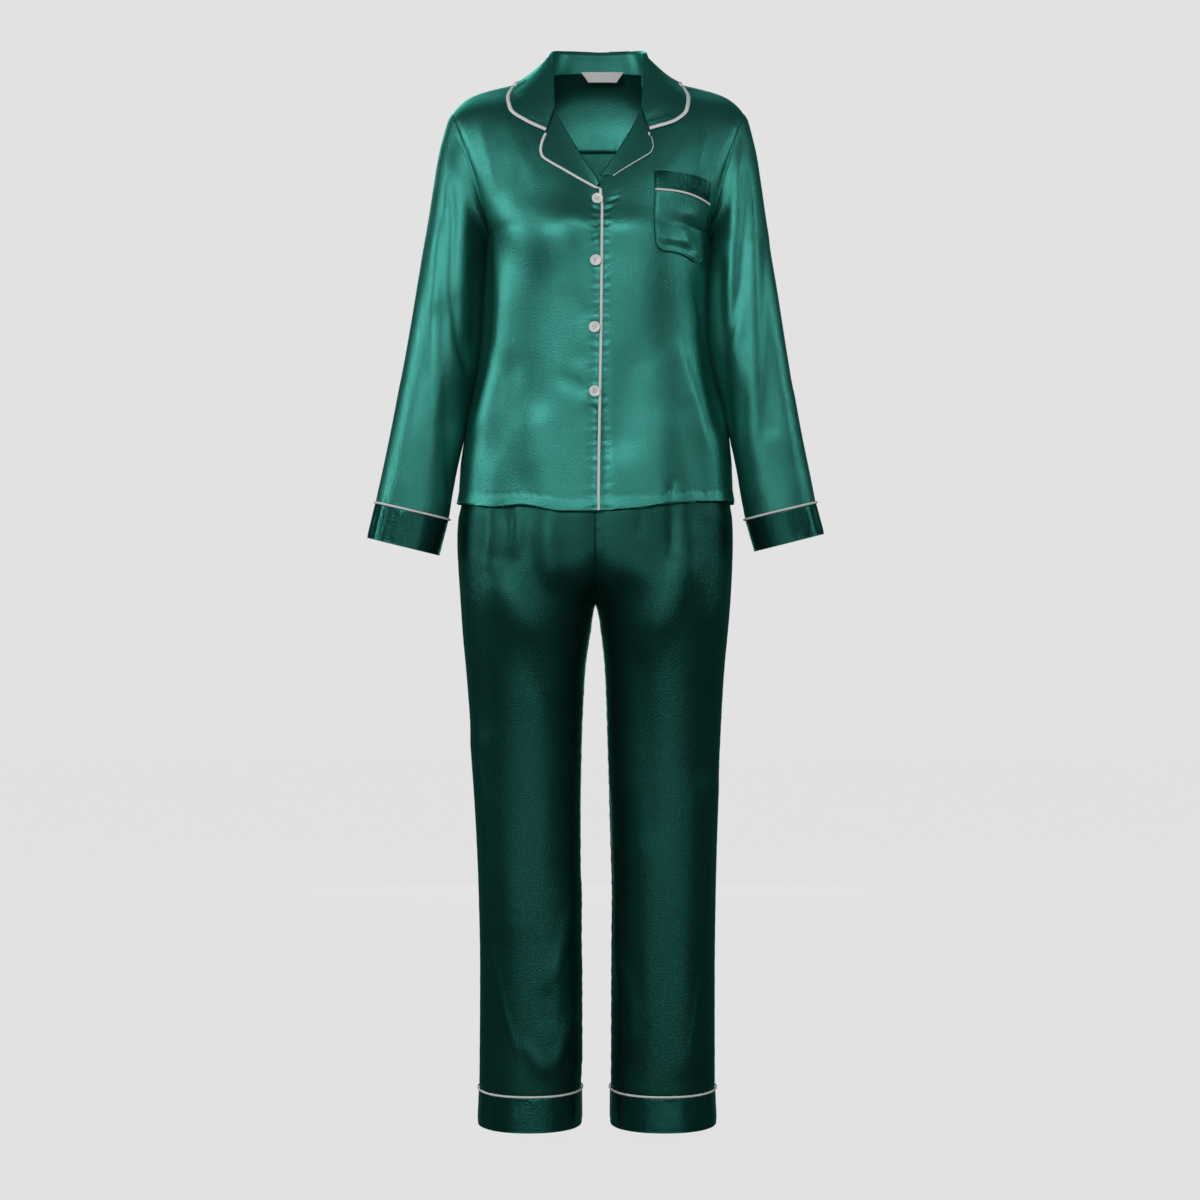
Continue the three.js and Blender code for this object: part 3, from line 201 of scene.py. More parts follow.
# Folds as seen from the front or back: a soft ridge (depth > 0) or trough along a line
FOLD_COLUMNS = "x z to_x to_z width depth"
SHIRT_FRONT_FOLDS = table(FOLD_COLUMNS, [
    [-112, -200, -60, -226, 24, 5],
    [-28, -222, -10, -246, 9, -2.6],
    [-32, -300, -12, -330, 9, -2.6],
    [-44, -408, -22, -422, 9, -2.4],
    [-120, -300, -40, -420, 34, 3],
    [-80, -470, -64, -560, 20, 3.5],
    [-140, -420, -128, -560, 18, 3],
    [60, -300, 130, -240, 26, 3.5],
    [36, -240, 90, -200, 18, -2.5],
    [70, -400, 96, -560, 26, 4],
    [128, -450, 140, -560, 14, -3],
    [98, -545, 98, -590, 6, -2.5],
])
SHIRT_BACK_FOLDS = table(FOLD_COLUMNS, [
    [-120, -200, -50, -250, 24, 4],
    [118, -210, 60, -262, 24, 4],
    [-90, -420, -70, -570, 24, 5],
    [-10, -400, 4, -570, 22, -4],
    [80, -430, 64, -570, 24, 5],
    [-46, -300, 20, -360, 24, -3],
])
SLEEVE_FRONT_FOLDS = table(FOLD_COLUMNS, [
    [-196, -90, -214, -300, 14, 3.5],
    [-196, -314, -172, -408, 16, -4],
    [-212, -470, -200, -575, 12, -4],
    [-250, -420, -262, -560, 14, 3],
    [212, -225, 216, -560, 10, 4],
    [228, -225, 232, -470, 9, -4],
    [177, -225, 180, -335, 10, 3],
    [256, -430, 272, -560, 12, 3],
])
SLEEVE_BACK_FOLDS = table(FOLD_COLUMNS, [
    [-205, -120, -226, -420, 14, -4],
    [-240, -330, -190, -400, 14, 3.5],
    [205, -120, 222, -420, 14, -4],
    [236, -330, 186, -396, 14, 3.5],
])
TROUSER_FRONT_FOLDS = table(FOLD_COLUMNS, [
    [-139, -560, -146, -650, 9, 4],
    [-108, -560, -110, -636, 8, 3.5],
    [-62, -560, -64, -676, 12, 4.5],
    [-148, -660, -58, -745, 22, 4],
    [112, -560, 112, -672, 14, 5],
    [112, -672, 60, -752, 20, 4.5],
    [97, -570, 98, -640, 6, -3.5],
    [-3, -590, -3, -700, 10, -4],
    [-162, -900, -120, -1130, 20, 3],
    [-44, -1200, -36, -1345, 16, 4],
    [-38, -1100, -66, -1330, 18, 3.5],
    [140, -960, 120, -1330, 18, 3.5],
    [28, -980, 40, -1330, 16, -3],
])
TROUSER_BACK_FOLDS = table(FOLD_COLUMNS, [
    [-126, -560, -130, -660, 12, 4],
    [-60, -560, -66, -650, 12, 4],
    [64, -560, 70, -650, 12, 4],
    [128, -560, 130, -660, 12, 4],
    [-150, -780, -60, -730, 20, -5],
    [150, -784, 60, -734, 20, -5],
    [-120, -960, -90, -1340, 20, 4],
    [118, -960, 90, -1340, 20, 4],
    [-60, -1080, -120, -1180, 20, -3.5],
    [56, -1100, 118, -1190, 20, -3.5],
])

# Creases that only the cloth shows, as seen from the front or back. Each is a soft ridge (height > 0)
# or trough along a bent line: height, softness to the left and to the right of its run, the line's x and z
SHIRT_FRONT_DRAPES = [
    (8.0, 32, 60, [(-150, -234), (-122, -207), (-83, -197), (-43, -203), (-13, -226), (-5, -247)]),
    (6.0, 30, 56, [(11, -226), (55, -210), (98, -215), (130, -234)]),
    (3.6, 20, 7, [(-146, -218), (-132, -255), (-128, -305), (-133, -358), (-146, -400), (-161, -456),
        (-172, -498)]),
    (-5.0, 6, 6, [(-145, -234), (-146, -305), (-151, -358), (-161, -400)]),
    (-2.6, 18, 16, [(-108, -358), (-122, -439), (-134, -489), (-142, -539)]),
    (2.2, 20, 24, [(-92, -437), (-89, -502), (-97, -550)]),
    (-1.2, 9, 14, [(-50, -202), (-32, -215), (-18, -229), (-8, -242)]),
    (-1.4, 9, 14, [(-42, -284), (-32, -308), (-18, -326), (-7, -334)]),
    (-1.0, 8, 12, [(-37, -371), (-21, -381), (-8, -371)]),
    (-0.9, 8, 12, [(-42, -405), (-24, -418), (-8, -416)]),
    (-1.2, 8, 13, [(-34, -468), (-18, -458), (-3, -439)]),
    (-1.5, 12, 12, [(-103, -65), (-87, -107), (-68, -152)]),
    (1.5, 9, 9, [(-161, -52), (-145, -107), (-129, -163)]),
    (-1.3, 8, 8, [(-137, -47), (-118, -107), (-103, -160)]),
    (-6.0, 9, 14, [(129, -250), (138, -308), (150, -371), (162, -437), (170, -489)]),
    (1.8, 5, 9, [(123, -255), (129, -300), (140, -352)]),
    (2.2, 5, 20, [(98, -344), (121, -405), (141, -468), (153, -513)]),
    (-5.5, 28, 26, [(61, -344), (42, -410), (24, -489), (26, -529)]),
    (2.6, 24, 24, [(92, -437), (82, -502), (71, -558)]),
    (-1.8, 4, 5, [(8, -410), (9, -489), (11, -568)]),
    (-1.6, 10, 12, [(121, -57), (95, -102), (71, -142)]),
    (1.4, 9, 9, [(145, -65), (134, -107), (121, -147)]),
    (-1.6, 4, 4, [(96, -547), (96, -572)]),
]
SHIRT_BACK_DRAPES = [
    (3.0, 14, 26, [(-150, -230), (-118, -206), (-60, -214), (-20, -240)]),
    (2.6, 26, 14, [(150, -236), (112, -210), (58, -222), (26, -250)]),
    (3.0, 18, 8, [(-146, -250), (-134, -330), (-146, -420), (-166, -500)]),
    (3.0, 8, 18, [(148, -250), (136, -330), (146, -420), (166, -500)]),
    (-2.6, 12, 14, [(-40, -110), (-56, -180), (-60, -240)]),
    (-2.4, 12, 12, [(44, -110), (62, -186), (66, -250)]),
    (-3.2, 16, 16, [(-96, -320), (-110, -420), (-100, -520)]),
    (2.8, 16, 18, [(-40, -400), (-34, -480), (-40, -560)]),
    (-3.0, 16, 14, [(20, -380), (26, -470), (20, -560)]),
    (2.8, 16, 16, [(74, -420), (80, -500), (70, -566)]),
    (-2.8, 10, 12, [(120, -440), (128, -520), (124, -570)]),
]
SLEEVE_FRONT_DRAPES = [
    (-6.0, 8, 6, [(-199, -121), (-195, -200), (-194, -292), (-187, -351), (-175, -394), (-161, -421)]),
    (-8.0, 9, 11, [(-158, -215), (-161, -292), (-166, -358), (-171, -392)]),
    (2.2, 7, 7, [(-178, -160), (-179, -239), (-176, -318)]),
    (-5.0, 16, 4, [(-208, -168), (-208, -265), (-207, -358), (-204, -463), (-201, -526), (-196, -581)]),
    (2.0, 7, 8, [(-220, -186), (-221, -305), (-221, -437), (-219, -529)]),
    (1.8, 10, 10, [(-174, -434), (-180, -489), (-188, -563)]),
    (3.6, 6, 8, [(191, -84), (183, -160), (178, -255), (170, -313)]),
    (-6.0, 7, 7, [(195, -102), (199, -160), (191, -279), (179, -334), (163, -371)]),
    (2.0, 6, 6, [(209, -147), (208, -252), (207, -344), (204, -437), (200, -534)]),
    (-2.6, 7, 7, [(224, -186), (224, -325), (221, -437), (216, -529)]),
    (-8.0, 9, 8, [(162, -226), (163, -305), (166, -373), (174, -463), (182, -505)]),
    (2.2, 14, 14, [(242, -331), (250, -437), (262, -529)]),
    (2.2, 7, 7, [(180, -392), (186, -463), (194, -550)]),
]
SLEEVE_BACK_DRAPES = [
    (-4.0, 8, 7, [(-172, -150), (-176, -250), (-180, -330), (-198, -400)]),
    (-4.4, 9, 9, [(-160, -240), (-164, -320), (-172, -380)]),
    (2.4, 8, 9, [(-212, -180), (-226, -320), (-236, -430)]),
    (-3.6, 12, 5, [(-204, -330), (-220, -420), (-232, -540)]),
    (2.2, 12, 12, [(-262, -420), (-268, -500), (-272, -560)]),
    (2.6, 8, 6, [(190, -110), (184, -190), (178, -300)]),
    (-4.2, 7, 8, [(194, -150), (196, -240), (190, -320), (176, -392)]),
    (-4.4, 8, 9, [(164, -240), (166, -320), (176, -400)]),
    (2.4, 7, 7, [(212, -220), (222, -330), (232, -470)]),
    (-3.0, 7, 10, [(232, -330), (244, -430), (250, -540)]),
    (2.2, 12, 12, [(252, -380), (266, -470), (276, -550)]),
]
TROUSER_FRONT_DRAPES = [
    (4.0, 16, 16, [(-125, -579), (-131, -613), (-143, -647)]),
    (2.6, 9, 11, [(-100, -579), (-103, -608), (-108, -642)]),
    (-2.0, 6, 6, [(-116, -579), (-117, -631)]),
    (3.6, 14, 16, [(-71, -581), (-69, -626), (-59, -687)]),
    (5.5, 18, 30, [(-153, -660), (-127, -689), (-100, -718), (-69, -761)]),
    (-3.6, 20, 18, [(-90, -774), (-55, -819), (-26, -872)]),
    (2.6, 18, 18, [(-71, -773), (-47, -803), (-24, -832)]),
    (4.0, 18, 20, [(118, -581), (126, -642), (116, -684), (90, -721), (56, -763)]),
    (-2.4, 4, 5, [(98, -573), (99, -642)]),
    (-1.4, 8, 8, [(56, -576), (56, -621)]),
    (1.4, 3, 3, [(-165, -895), (-153, -964), (-153, -1043), (-149, -1120), (-141, -1175),
        (-124, -1252), (-100, -1329)]),
    (3.2, 8, 10, [(-28, -1091), (-42, -1149), (-59, -1218)]),
    (3.4, 7, 9, [(-28, -1228), (-41, -1284), (-61, -1347)]),
    (2.2, 8, 8, [(-108, -1281), (-84, -1313), (-63, -1342)]),
    (-2.2, 10, 10, [(-70, -1208), (-66, -1255), (-55, -1281)]),
    (2.0, 5, 6, [(19, -991), (25, -1096), (26, -1175), (32, -1241), (34, -1323)]),
    (2.4, 7, 9, [(28, -1162), (45, -1247), (45, -1323)]),
    (1.3, 3, 3, [(152, -972), (149, -1091), (140, -1202), (119, -1329)]),
    (-2.0, 16, 16, [(56, -753), (66, -911), (69, -1043)]),
]
TROUSER_BACK_DRAPES = [
    (2.6, 8, 8, [(-130, -550), (-128, -600), (-134, -650)]),
    (-2.0, 6, 6, [(-100, -550), (-100, -630)]),
    (2.4, 8, 9, [(-60, -550), (-58, -620), (-66, -670)]),
    (2.6, 8, 8, [(64, -550), (66, -610), (72, -656)]),
    (-2.2, 6, 6, [(98, -550), (102, -636)]),
    (2.4, 8, 8, [(128, -550), (128, -610), (134, -662)]),
    (-3.6, 12, 14, [(-160, -772), (-110, -752), (-50, -724)]),
    (-3.4, 14, 12, [(156, -778), (104, -756), (46, -728)]),
    (2.8, 12, 14, [(-150, -802), (-100, -786), (-50, -760)]),
    (2.6, 14, 12, [(150, -808), (96, -790), (48, -764)]),
    (2.2, 12, 12, [(-96, -900), (-88, -1000), (-92, -1120)]),
    (-2.4, 12, 12, [(-50, -1080), (-90, -1150), (-130, -1200)]),
    (2.8, 10, 12, [(-130, -1200), (-120, -1290), (-128, -1350)]),
    (2.2, 12, 12, [(92, -880), (86, -1000), (90, -1110)]),
    (-2.4, 12, 12, [(54, -1100), (96, -1160), (136, -1200)]),
    (2.6, 10, 12, [(124, -1220), (116, -1300), (122, -1352)]),
    (2.4, 8, 8, [(-40, -1240), (-46, -1300), (-44, -1352)]),
    (-2.2, 8, 8, [(62, -1250), (56, -1310), (54, -1354)]),
]


# Curves and vectors
def mix(a, b, share):
    return a + (b - a) * share


def ease(value):
    value = np.clip(value, 0, 1)
    return value * value * (3 - 2 * value)


def power(value, exponent):
    return np.sign(value) * np.abs(value) ** exponent


def point(x, y, z):
    return np.stack(np.broadcast_arrays(x, y, z), axis=-1).astype(float)


def unit(vectors):
    length = np.linalg.norm(vectors, axis=-1, keepdims=True)
    return vectors / np.maximum(length, 1e-9)


def read(rows, key, at, column):
    """The value of a table's column along a smooth curve that never overshoots its rows."""
    x = rows[key]
    y = rows[column]
    width = np.diff(x)
    rise = np.diff(y) / width
    product = rise[:-1] * rise[1:]
    total = np.where(product > 0, rise[:-1] + rise[1:], 1)
    slope = np.concatenate([rise[:1], np.where(product > 0, 2 * product / total, 0), rise[-1:]])
    k = np.clip(np.searchsorted(x, at, side="right") - 1, 0, len(x) - 2)
    u = np.clip((at - x[k]) / width[k], 0, 1)
    start = (1 + 2 * u) * (1 - u) ** 2 * y[k] + u * (1 - u) ** 2 * width[k] * slope[k]
    end = u * u * (3 - 2 * u) * y[k + 1] - u * u * (1 - u) * width[k] * slope[k + 1]
    return start + end


def fold_height(folds, x, z, wider=1.3, share=0.75):
    """How far a set of folds lifts the cloth at a place seen from the front.

    Satin lies softer than its solid: each fold is wider and a share of its depth."""
    height = np.zeros_like(x)
    for k in range(len(folds["x"])):
        along_x = folds["to_x"][k] - folds["x"][k]
        along_z = folds["to_z"][k] - folds["z"][k]
        length = math.hypot(along_x, along_z)
        along_x /= length
        along_z /= length
        from_x = x - folds["x"][k]
        from_z = z - folds["z"][k]
        run = from_x * along_x + from_z * along_z
        beyond = np.maximum(np.maximum(-run, run - length), 0)
        nearest = np.clip(run, 0, length)
        aside = np.hypot(from_x - nearest * along_x, from_z - nearest * along_z)
        reach = np.hypot(aside, beyond * 0.4) / (folds["width"][k] * wider)
        height += folds["depth"][k] * share * np.exp(-reach * reach)
    return height


def softened(grid, passes):
    """Rounds off a grid of heights, a little with each pass."""
    if grid.ndim < 2:
        return grid
    for _ in range(passes):
        wide = np.pad(grid, 1, mode="edge")
        grid = (wide[:-2, 1:-1] + wide[2:, 1:-1] + wide[1:-1, :-2] + wide[1:-1, 2:]) / 8 + grid / 2
    return grid


def drape_height(drapes, x, z):
    """How far a set of drapes lifts the cloth at a place seen from the front.

    Each drape fades out at both ends."""
    total = np.zeros_like(x)
    for height, left, right, line in drapes:
        line = np.array(line, float)
        steps = np.diff(line, axis=0)
        lengths = np.hypot(steps[:, 0], steps[:, 1])
        begins = np.concatenate([[0], np.cumsum(lengths)])
        nearest = np.full_like(x, np.inf)
        beside = np.zeros_like(x)
        run = np.zeros_like(x)
        for start, step, length, begin in zip(line, steps, lengths, begins):
            from_x = x - start[0]
            from_z = z - start[1]
            share = np.clip((from_x * step[0] + from_z * step[1]) / length ** 2, 0, 1)
            off_x = from_x - share * step[0]
            off_z = from_z - share * step[1]
            distance = np.hypot(off_x, off_z)
            closer = distance < nearest
            nearest = np.where(closer, distance, nearest)
            beside = np.where(closer, step[0] * off_z - step[1] * off_x, beside)
            run = np.where(closer, begin + share * length, run)
        fade = min(begins[-1] * 0.35, 45)
        ends = ease(run / fade) * ease((begins[-1] - run) / fade)
        lift = height * ends * np.exp(-((nearest / np.where(beside > 0, left, right)) ** 2))
        total += softened(lift, int((max(left, right) / 6) ** 2))
    return total


def wander(x, z):
    """Creases never run quite straight."""
    return x + 0.8 * np.sin(z / 37 + x / 61) + 0.2 * np.sin(z / 15 + x / 23 + 2), z + 1.0 * np.sin(x / 23)


# The plain forms of the pieces
def armhole(side, angle, front):
    inner = np.where(side < 0, FRONT_ROWS["right"][ARMPIT], FRONT_ROWS["left"][ARMPIT])
    armpit_z = FRONT_ROWS["side_z"][ARMPIT]
    turn = np.radians(angle)
    up = power(np.cos(turn), 2 / ARMHOLE_SQUARE)
    out = power(np.abs(np.sin(turn)), 2 / ARMHOLE_SQUARE)
    x = (SHOULDER_HALF + inner) / 2 + ((SHOULDER_HALF - inner) / 2) * up - ARMHOLE_BOW * out * out
    z = (SHOULDER_Z + armpit_z) / 2 + ((SHOULDER_Z - armpit_z) / 2) * up
    y = np.where(front, -ARMHOLE_FRONT, ARMHOLE_BACK) * out
    return point(side * x, y, z)


def shoulder_drop(share):
    return 0.55 * share + 0.45 * share ** 8


def row_end(rows, side, t, front):
    angle = read(rows, "t", t, "armhole")
    width = np.where(side < 0, read(rows, "t", t, "right"), read(rows, "t", t, "left"))
    seam = point(side * width, -SEAM / 2 if front else SEAM / 2, read(rows, "t", t, "side_z"))
    return np.where((angle < 179.9)[..., None], armhole(side, angle, front), seam)


def front_place(side, s, t):
    """s runs from the opening to the side, t from the hem to the shoulder."""
    s, t = np.broadcast_arrays(np.asarray(s, float), np.asarray(t, float))
    end = row_end(FRONT_ROWS, side, t, True)
    start_x = read(FRONT_ROWS, "t", t, "mid_x")
    under = UNDERLAP_DEPTH * np.where(t > 0.93, (1 - t) / 0.07, 1) if side > 0 else 0
    start_y = read(FRONT_ROWS, "t", t, "mid_y") + under
    reach = np.abs(end[..., 0]) - start_x
    square = read(FRONT_ROWS, "t", t, "square")
    lap = read(FRONT_ROWS, "t", t, "lap_right" if side < 0 else "lap_left")
    start = -np.sign(lap) * np.arcsin((np.abs(lap) / reach) ** (square / 2))
    angle = start + (math.pi / 2 - start) * s
    across = power(np.sin(angle), 2 / square)
    share = np.maximum(0, across)
    x = side * (start_x + reach * across)
    round_off = power(np.cos(angle), 2 / square)
    swell = read(FRONT_ROWS, "t", t, "swell") * np.sin(math.pi * share) ** 2
    y = end[..., 1] + (start_y - end[..., 1]) * round_off - swell
    row_z = mix(read(FRONT_ROWS, "t", t, "mid_z"), end[..., 2], shoulder_drop(share))
    hem_share = np.maximum(0, 1 - t / 0.12) ** 2
    return point(x, y, mix(row_z, read(FRONT_HEM, "x", x, "z"), hem_share))


def back_place(s, t):
    s, t = np.broadcast_arrays(np.asarray(s, float), np.asarray(t, float))
    side = np.where(s < 0, -1, 1)
    end = row_end(BACK_ROWS, side, t, False)
    angle = np.abs(s) * math.pi / 2
    square = read(BACK_ROWS, "t", t, "square")
    across = power(np.sin(angle), 2 / square)
    round_off = power(np.cos(angle), 2 / square)
    y = end[..., 1] + (read(BACK_ROWS, "t", t, "mid_y") - end[..., 1]) * round_off
    z = mix(read(BACK_ROWS, "t", t, "mid_z"), end[..., 2], across * across)
    return point(end[..., 0] * across, y, z)


def yoke_top(s):
    side = np.where(s < 0, -1, 1)
    share = np.abs(s)
    f = np.clip((share - NECK_SHARE) / (1 - NECK_SHARE), 0, 1)
    shoulder = point(
        side * mix(NECK_HALF, SHOULDER_HALF, f), 0, mix(NECK_SIDE_Z, SHOULDER_Z, shoulder_drop(f))
    )
    turn = np.clip(share / NECK_SHARE, 0, 1) * math.pi / 2
    round_off = np.clip(np.cos(turn), 0, 1) ** 0.85
    neck_x = side * NECK_HALF * np.sin(turn) ** 0.85
    neck = point(neck_x, NECK_BACK * round_off, mix(NECK_SIDE_Z, NECK_BACK_Z, round_off))
    return np.where((share > NECK_SHARE)[..., None], shoulder, neck)


def yoke_place(s, t):
    """The yoke lies between the back's top edge, the armholes, the shoulder seams and the neckline."""
    s, t = np.broadcast_arrays(np.asarray(s, float), np.asarray(t, float))
    one = np.ones_like(s)
    height = t[..., None]
    share = ((s + 1) / 2)[..., None]
    rows = mix(back_place(s, one), yoke_top(s), height)
    angle = YOKE_ANGLE * (1 - t)
    sides = mix(armhole(-one, angle, False), armhole(one, angle, False), share)
    low = mix(back_place(-one, one), back_place(one, one), share)
    high = mix(yoke_top(-one), yoke_top(one), share)
    bulge = np.sin(math.pi * t) * YOKE_BULGE * (1 - s * s)
    lift = point(0 * s, bulge + SEAM * t, bulge * 0.6 + SEAM * 1.6 * (1 - t))
    return rows + sides - mix(low, high, height) + lift


def sleeve_ring(side, angle, t):
    name = "r" if side < 0 else "l"
    front = angle <= 180
    mid_y = read(SLEEVE_ROWS, "t", t, "mid_y")
    outer = point(
        side * read(SLEEVE_ROWS, "t", t, f"out_{name}"), mid_y, read(SLEEVE_ROWS, "t", t, "out_z")
    )
    inner = point(side * read(SLEEVE_ROWS, "t", t, f"in_{name}"), mid_y, read(SLEEVE_ROWS, "t", t, "in_z"))
    square = read(SLEEVE_ROWS, "t", t, "square")
    up = power(np.cos(np.radians(angle)), 2 / square)
    out = power(np.abs(np.sin(np.radians(angle))), 2 / square)
    spot = (outer + inner) / 2 + (outer - inner) * (up / 2)[..., None]
    depth = np.where(front, -read(SLEEVE_ROWS, "t", t, "front"), read(SLEEVE_ROWS, "t", t, "back"))
    lean = np.where(front, read(SLEEVE_ROWS, "t", t, f"lean_{name}"), 0) * out * (0.5 - up / 2) * 1.6
    bow = ARMHOLE_BOW * out * out * np.maximum(0, 1 - t / 0.3)
    spot[..., 1] += out * depth
    spot[..., 0] -= side * (bow + lean)
    return spot


def sleeve_place(side, turn, t):
    turn, t = np.broadcast_arrays(np.asarray(turn, float), np.asarray(t, float))
    angle = (turn * 360) % 360
    first = SLEEVE_ROWS["t"][0]
    ring = sleeve_ring(side, angle, np.maximum(t, first))
    front = angle <= 180
    rim = armhole(side, np.where(front, angle, 360 - angle), front)
    rim[..., 0] += side * SEAM * 2
    return mix(rim, ring, np.clip(t / first, 0, 1)[..., None])


def cuff_place(side, turn, t):
    turn, t = np.broadcast_arrays(np.asarray(turn, float), np.asarray(t, float))
    angle = turn * 2 * math.pi
    name = "r" if side < 0 else "l"
    row = 0 if side < 0 else 1
    top = {column: values[-1] for column, values in SLEEVE_ROWS.items()}
    end = {column: values[row] for column, values in CUFF_ENDS.items()}
    outer = point(
        side * mix(top[f"out_{name}"], end["out"], t), top["mid_y"], mix(top["out_z"], end["out_z"], t)
    )
    inner = point(
        side * mix(top[f"in_{name}"], end["inner"], t), top["mid_y"], mix(top["in_z"], end["in_z"], t)
    )
    up = power(np.cos(angle), 2 / top["square"])
    out = power(np.abs(np.sin(angle)), 2 / top["square"])
    spot = (outer + inner) / 2 + (outer - inner) * (up / 2)[..., None]
    spot[..., 1] += out * np.where(np.sin(angle) > 0, -top["front"], top["back"])
    return spot


def leg_place(side, front, s, z):
    """s runs from the side seam, over the front or back, to the inner edge."""
    s, z = np.broadcast_arrays(np.asarray(s, float), np.asarray(z, float))
    outer = side * read(TROUSER_ROWS, "z", z, "right" if side < 0 else "left")
    fork = read(TROUSER_ROWS, "z", z, "fork_r" if side < 0 else "fork_l")
    middle = (outer + fork) / 2
    half = np.abs(fork - outer) / 2
    square = read(TROUSER_ROWS, "z", z, "square")
    seam_x = TROUSER_SEAM_X + side * SEAM / 2
    seam_share = np.clip(-side * (seam_x - middle) / half, -1, 1)
    cut = np.sign(seam_share) * np.arcsin(np.abs(seam_share) ** (square / 2))
    angle = mix(-math.pi / 2, np.where(z < CROTCH_Z, math.pi / 2, cut), s)
    x = middle - side * half * power(np.sin(angle), 2 / square)
    depth = -read(TROUSER_ROWS, "z", z, "front") if front else read(TROUSER_ROWS, "z", z, "back")
    round_off = power(np.maximum(np.cos(angle), 0), 2 / square)
    dip = BAND_DIP * round_off * ease((LEG_END + 60 - z) / 60) if front else 0
    return point(x, (-SEAM if front else SEAM) / 2 + depth * round_off, z - dip)


def leg_ring(side, turn, z):
    turn, z = np.broadcast_arrays(np.asarray(turn, float), np.asarray(z, float))
    whole = turn % 1
    front = leg_place(side, True, np.clip(whole * 2, 0, 1), z)
    back = leg_place(side, False, np.clip(2 - whole * 2, 0, 1), z)
    front[..., 1] += SEAM / 2
    back[..., 1] -= SEAM / 2
    return np.where((whole <= 0.5)[..., None], front, back)


def waist_place(turn, z):
    turn, z = np.broadcast_arrays(np.asarray(turn, float), np.asarray(z, float))
    angle = turn * 2 * math.pi
    right = read(TROUSER_ROWS, "z", z, "right")
    left = read(TROUSER_ROWS, "z", z, "left")
    share = 2 / read(TROUSER_ROWS, "z", z, "square")
    out = power(np.sin(angle), share)
    depth = np.where(out > 0, read(TROUSER_ROWS, "z", z, "front"), read(TROUSER_ROWS, "z", z, "back"))
    return point((left - right) / 2 + (left + right) / 2 * power(np.cos(angle), share), -out * depth, z)


def surface(place, folds, middle, faces, limits=(0, 1), step=0.002):
    """A smooth surface with its main folds: the spot and the outward normal at any s, t."""

    def slope(spot, s, t):
        along_s = spot(s + 0.002, t) - spot(s - 0.002, t)
        along_t = spot(s, np.minimum(t + step, limits[1])) - spot(s, np.maximum(t - step, limits[0]))
        return unit(np.cross(along_s, along_t))

    sign = np.sign(np.dot(slope(place, *[np.array(value, float) for value in middle]), faces))

    def spot(s, t):
        plain = place(s, t)
        height = folds(plain, s, t)
        return plain + slope(place, s, t) * (sign * height)[..., None]

    def normal(s, t):
        return slope(spot, s, t) * sign

    return spot, normal


FORWARD = (0, -1, 0)
BACKWARD = (0, 1, 0)
OUTWARD = {RIGHT: (-1, 0, 0), LEFT: (1, 0, 0)}


def seen_folds(main):
    return lambda plain, s, t: fold_height(main, plain[..., 0], plain[..., 2])


fronts = {
    side: surface(
        lambda s, t, side=side: front_place(side, s, t), seen_folds(SHIRT_FRONT_FOLDS), (0.3, 0.5), FORWARD
    )
    for side in (RIGHT, LEFT)
}
yoke = surface(yoke_place, lambda plain, s, t: np.zeros_like(plain[..., 0]), (0.05, 0.5), BACKWARD)


def on_front(side, x, z):
    """The place on a shirt front that is seen at x, z from the front, found by a few straight steps."""
    x, z = np.broadcast_arrays(np.asarray(x, float), np.asarray(z, float))
    s = np.full_like(x, 0.35)
    t = np.full_like(x, 0.75)
    step = 0.002
    for _ in range(16):
        here = front_place(side, s, t)
        by_s = (front_place(side, s + step, t) - here) / step
        by_t = (front_place(side, s, t + step) - here) / step
        miss_x = x - here[..., 0]
        miss_z = z - here[..., 2]
        scale = by_s[..., 0] * by_t[..., 2] - by_s[..., 2] * by_t[..., 0]
        to_s = (miss_x * by_t[..., 2] - miss_z * by_t[..., 0]) / scale
        to_t = (by_s[..., 0] * miss_z - by_s[..., 2] * miss_x) / scale
        s = np.clip(s + np.clip(to_s, -0.2, 0.2), 0.001, 0.99)
        t = np.clip(t + np.clip(to_t, -0.1, 0.1), 0.01, 0.99)
    return s, t


# Grids of points
def spaced(count, edges=()):
    """Even steps from 0 to 1, with a few finer ones near both ends."""
    even = np.linspace(0, 1, count + 1)
    return np.unique(np.concatenate([even, edges, [1 - edge for edge in edges]]))


def grid_normals(points, faces=None):
    normals = unit(np.cross(np.gradient(points, axis=1), np.gradient(points, axis=0)))
    if faces is None:
        return normals
    middle = normals[int(points.shape[0] * 0.6), points.shape[1] // 2]
    return normals if np.dot(middle, faces) > 0 else -normals


def arc(points, axis):
    """How far each point is along the cloth, in millimetres."""
    steps = np.linalg.norm(np.diff(points, axis=axis), axis=-1)
    start = np.zeros_like(np.take(steps, [0], axis=axis))
    return np.concatenate([start, np.cumsum(steps, axis=axis)], axis=axis)


def through(points, count):
    """A smooth curve through each column of points, read at count even steps."""
    rows = len(points)
    at = np.linspace(0, rows - 1, count + 1)
    k = np.clip(at.astype(int), 0, rows - 2)
    u = (at - k)[:, None, None]
    a = points[np.clip(k - 1, 0, rows - 1)]
    b = points[k]
    c = points[k + 1]
    d = points[np.clip(k + 2, 0, rows - 1)]
    bend = (2 * a - 5 * b + 4 * c - d) * u ** 2 + (3 * b - 3 * c + d - a) * u ** 3
    return b + ((c - a) * u + bend) / 2


def joined(points, reach, *edges):
    """Carries the cloth on over a seam's gap at each named edge, so that no light comes through."""
    points = points.copy()
    for edge in edges:
        if edge == "first_row":
            points[0] += unit(points[0] - points[1]) * reach
        if edge == "last_row":
            points[-1] += unit(points[-1] - points[-2]) * reach
        if edge == "first_column":
            points[:, 0] += unit(points[:, 0] - points[:, 1]) * reach
        if edge == "last_column":
            points[:, -1] += unit(points[:, -1] - points[:, -2]) * reach
    return points


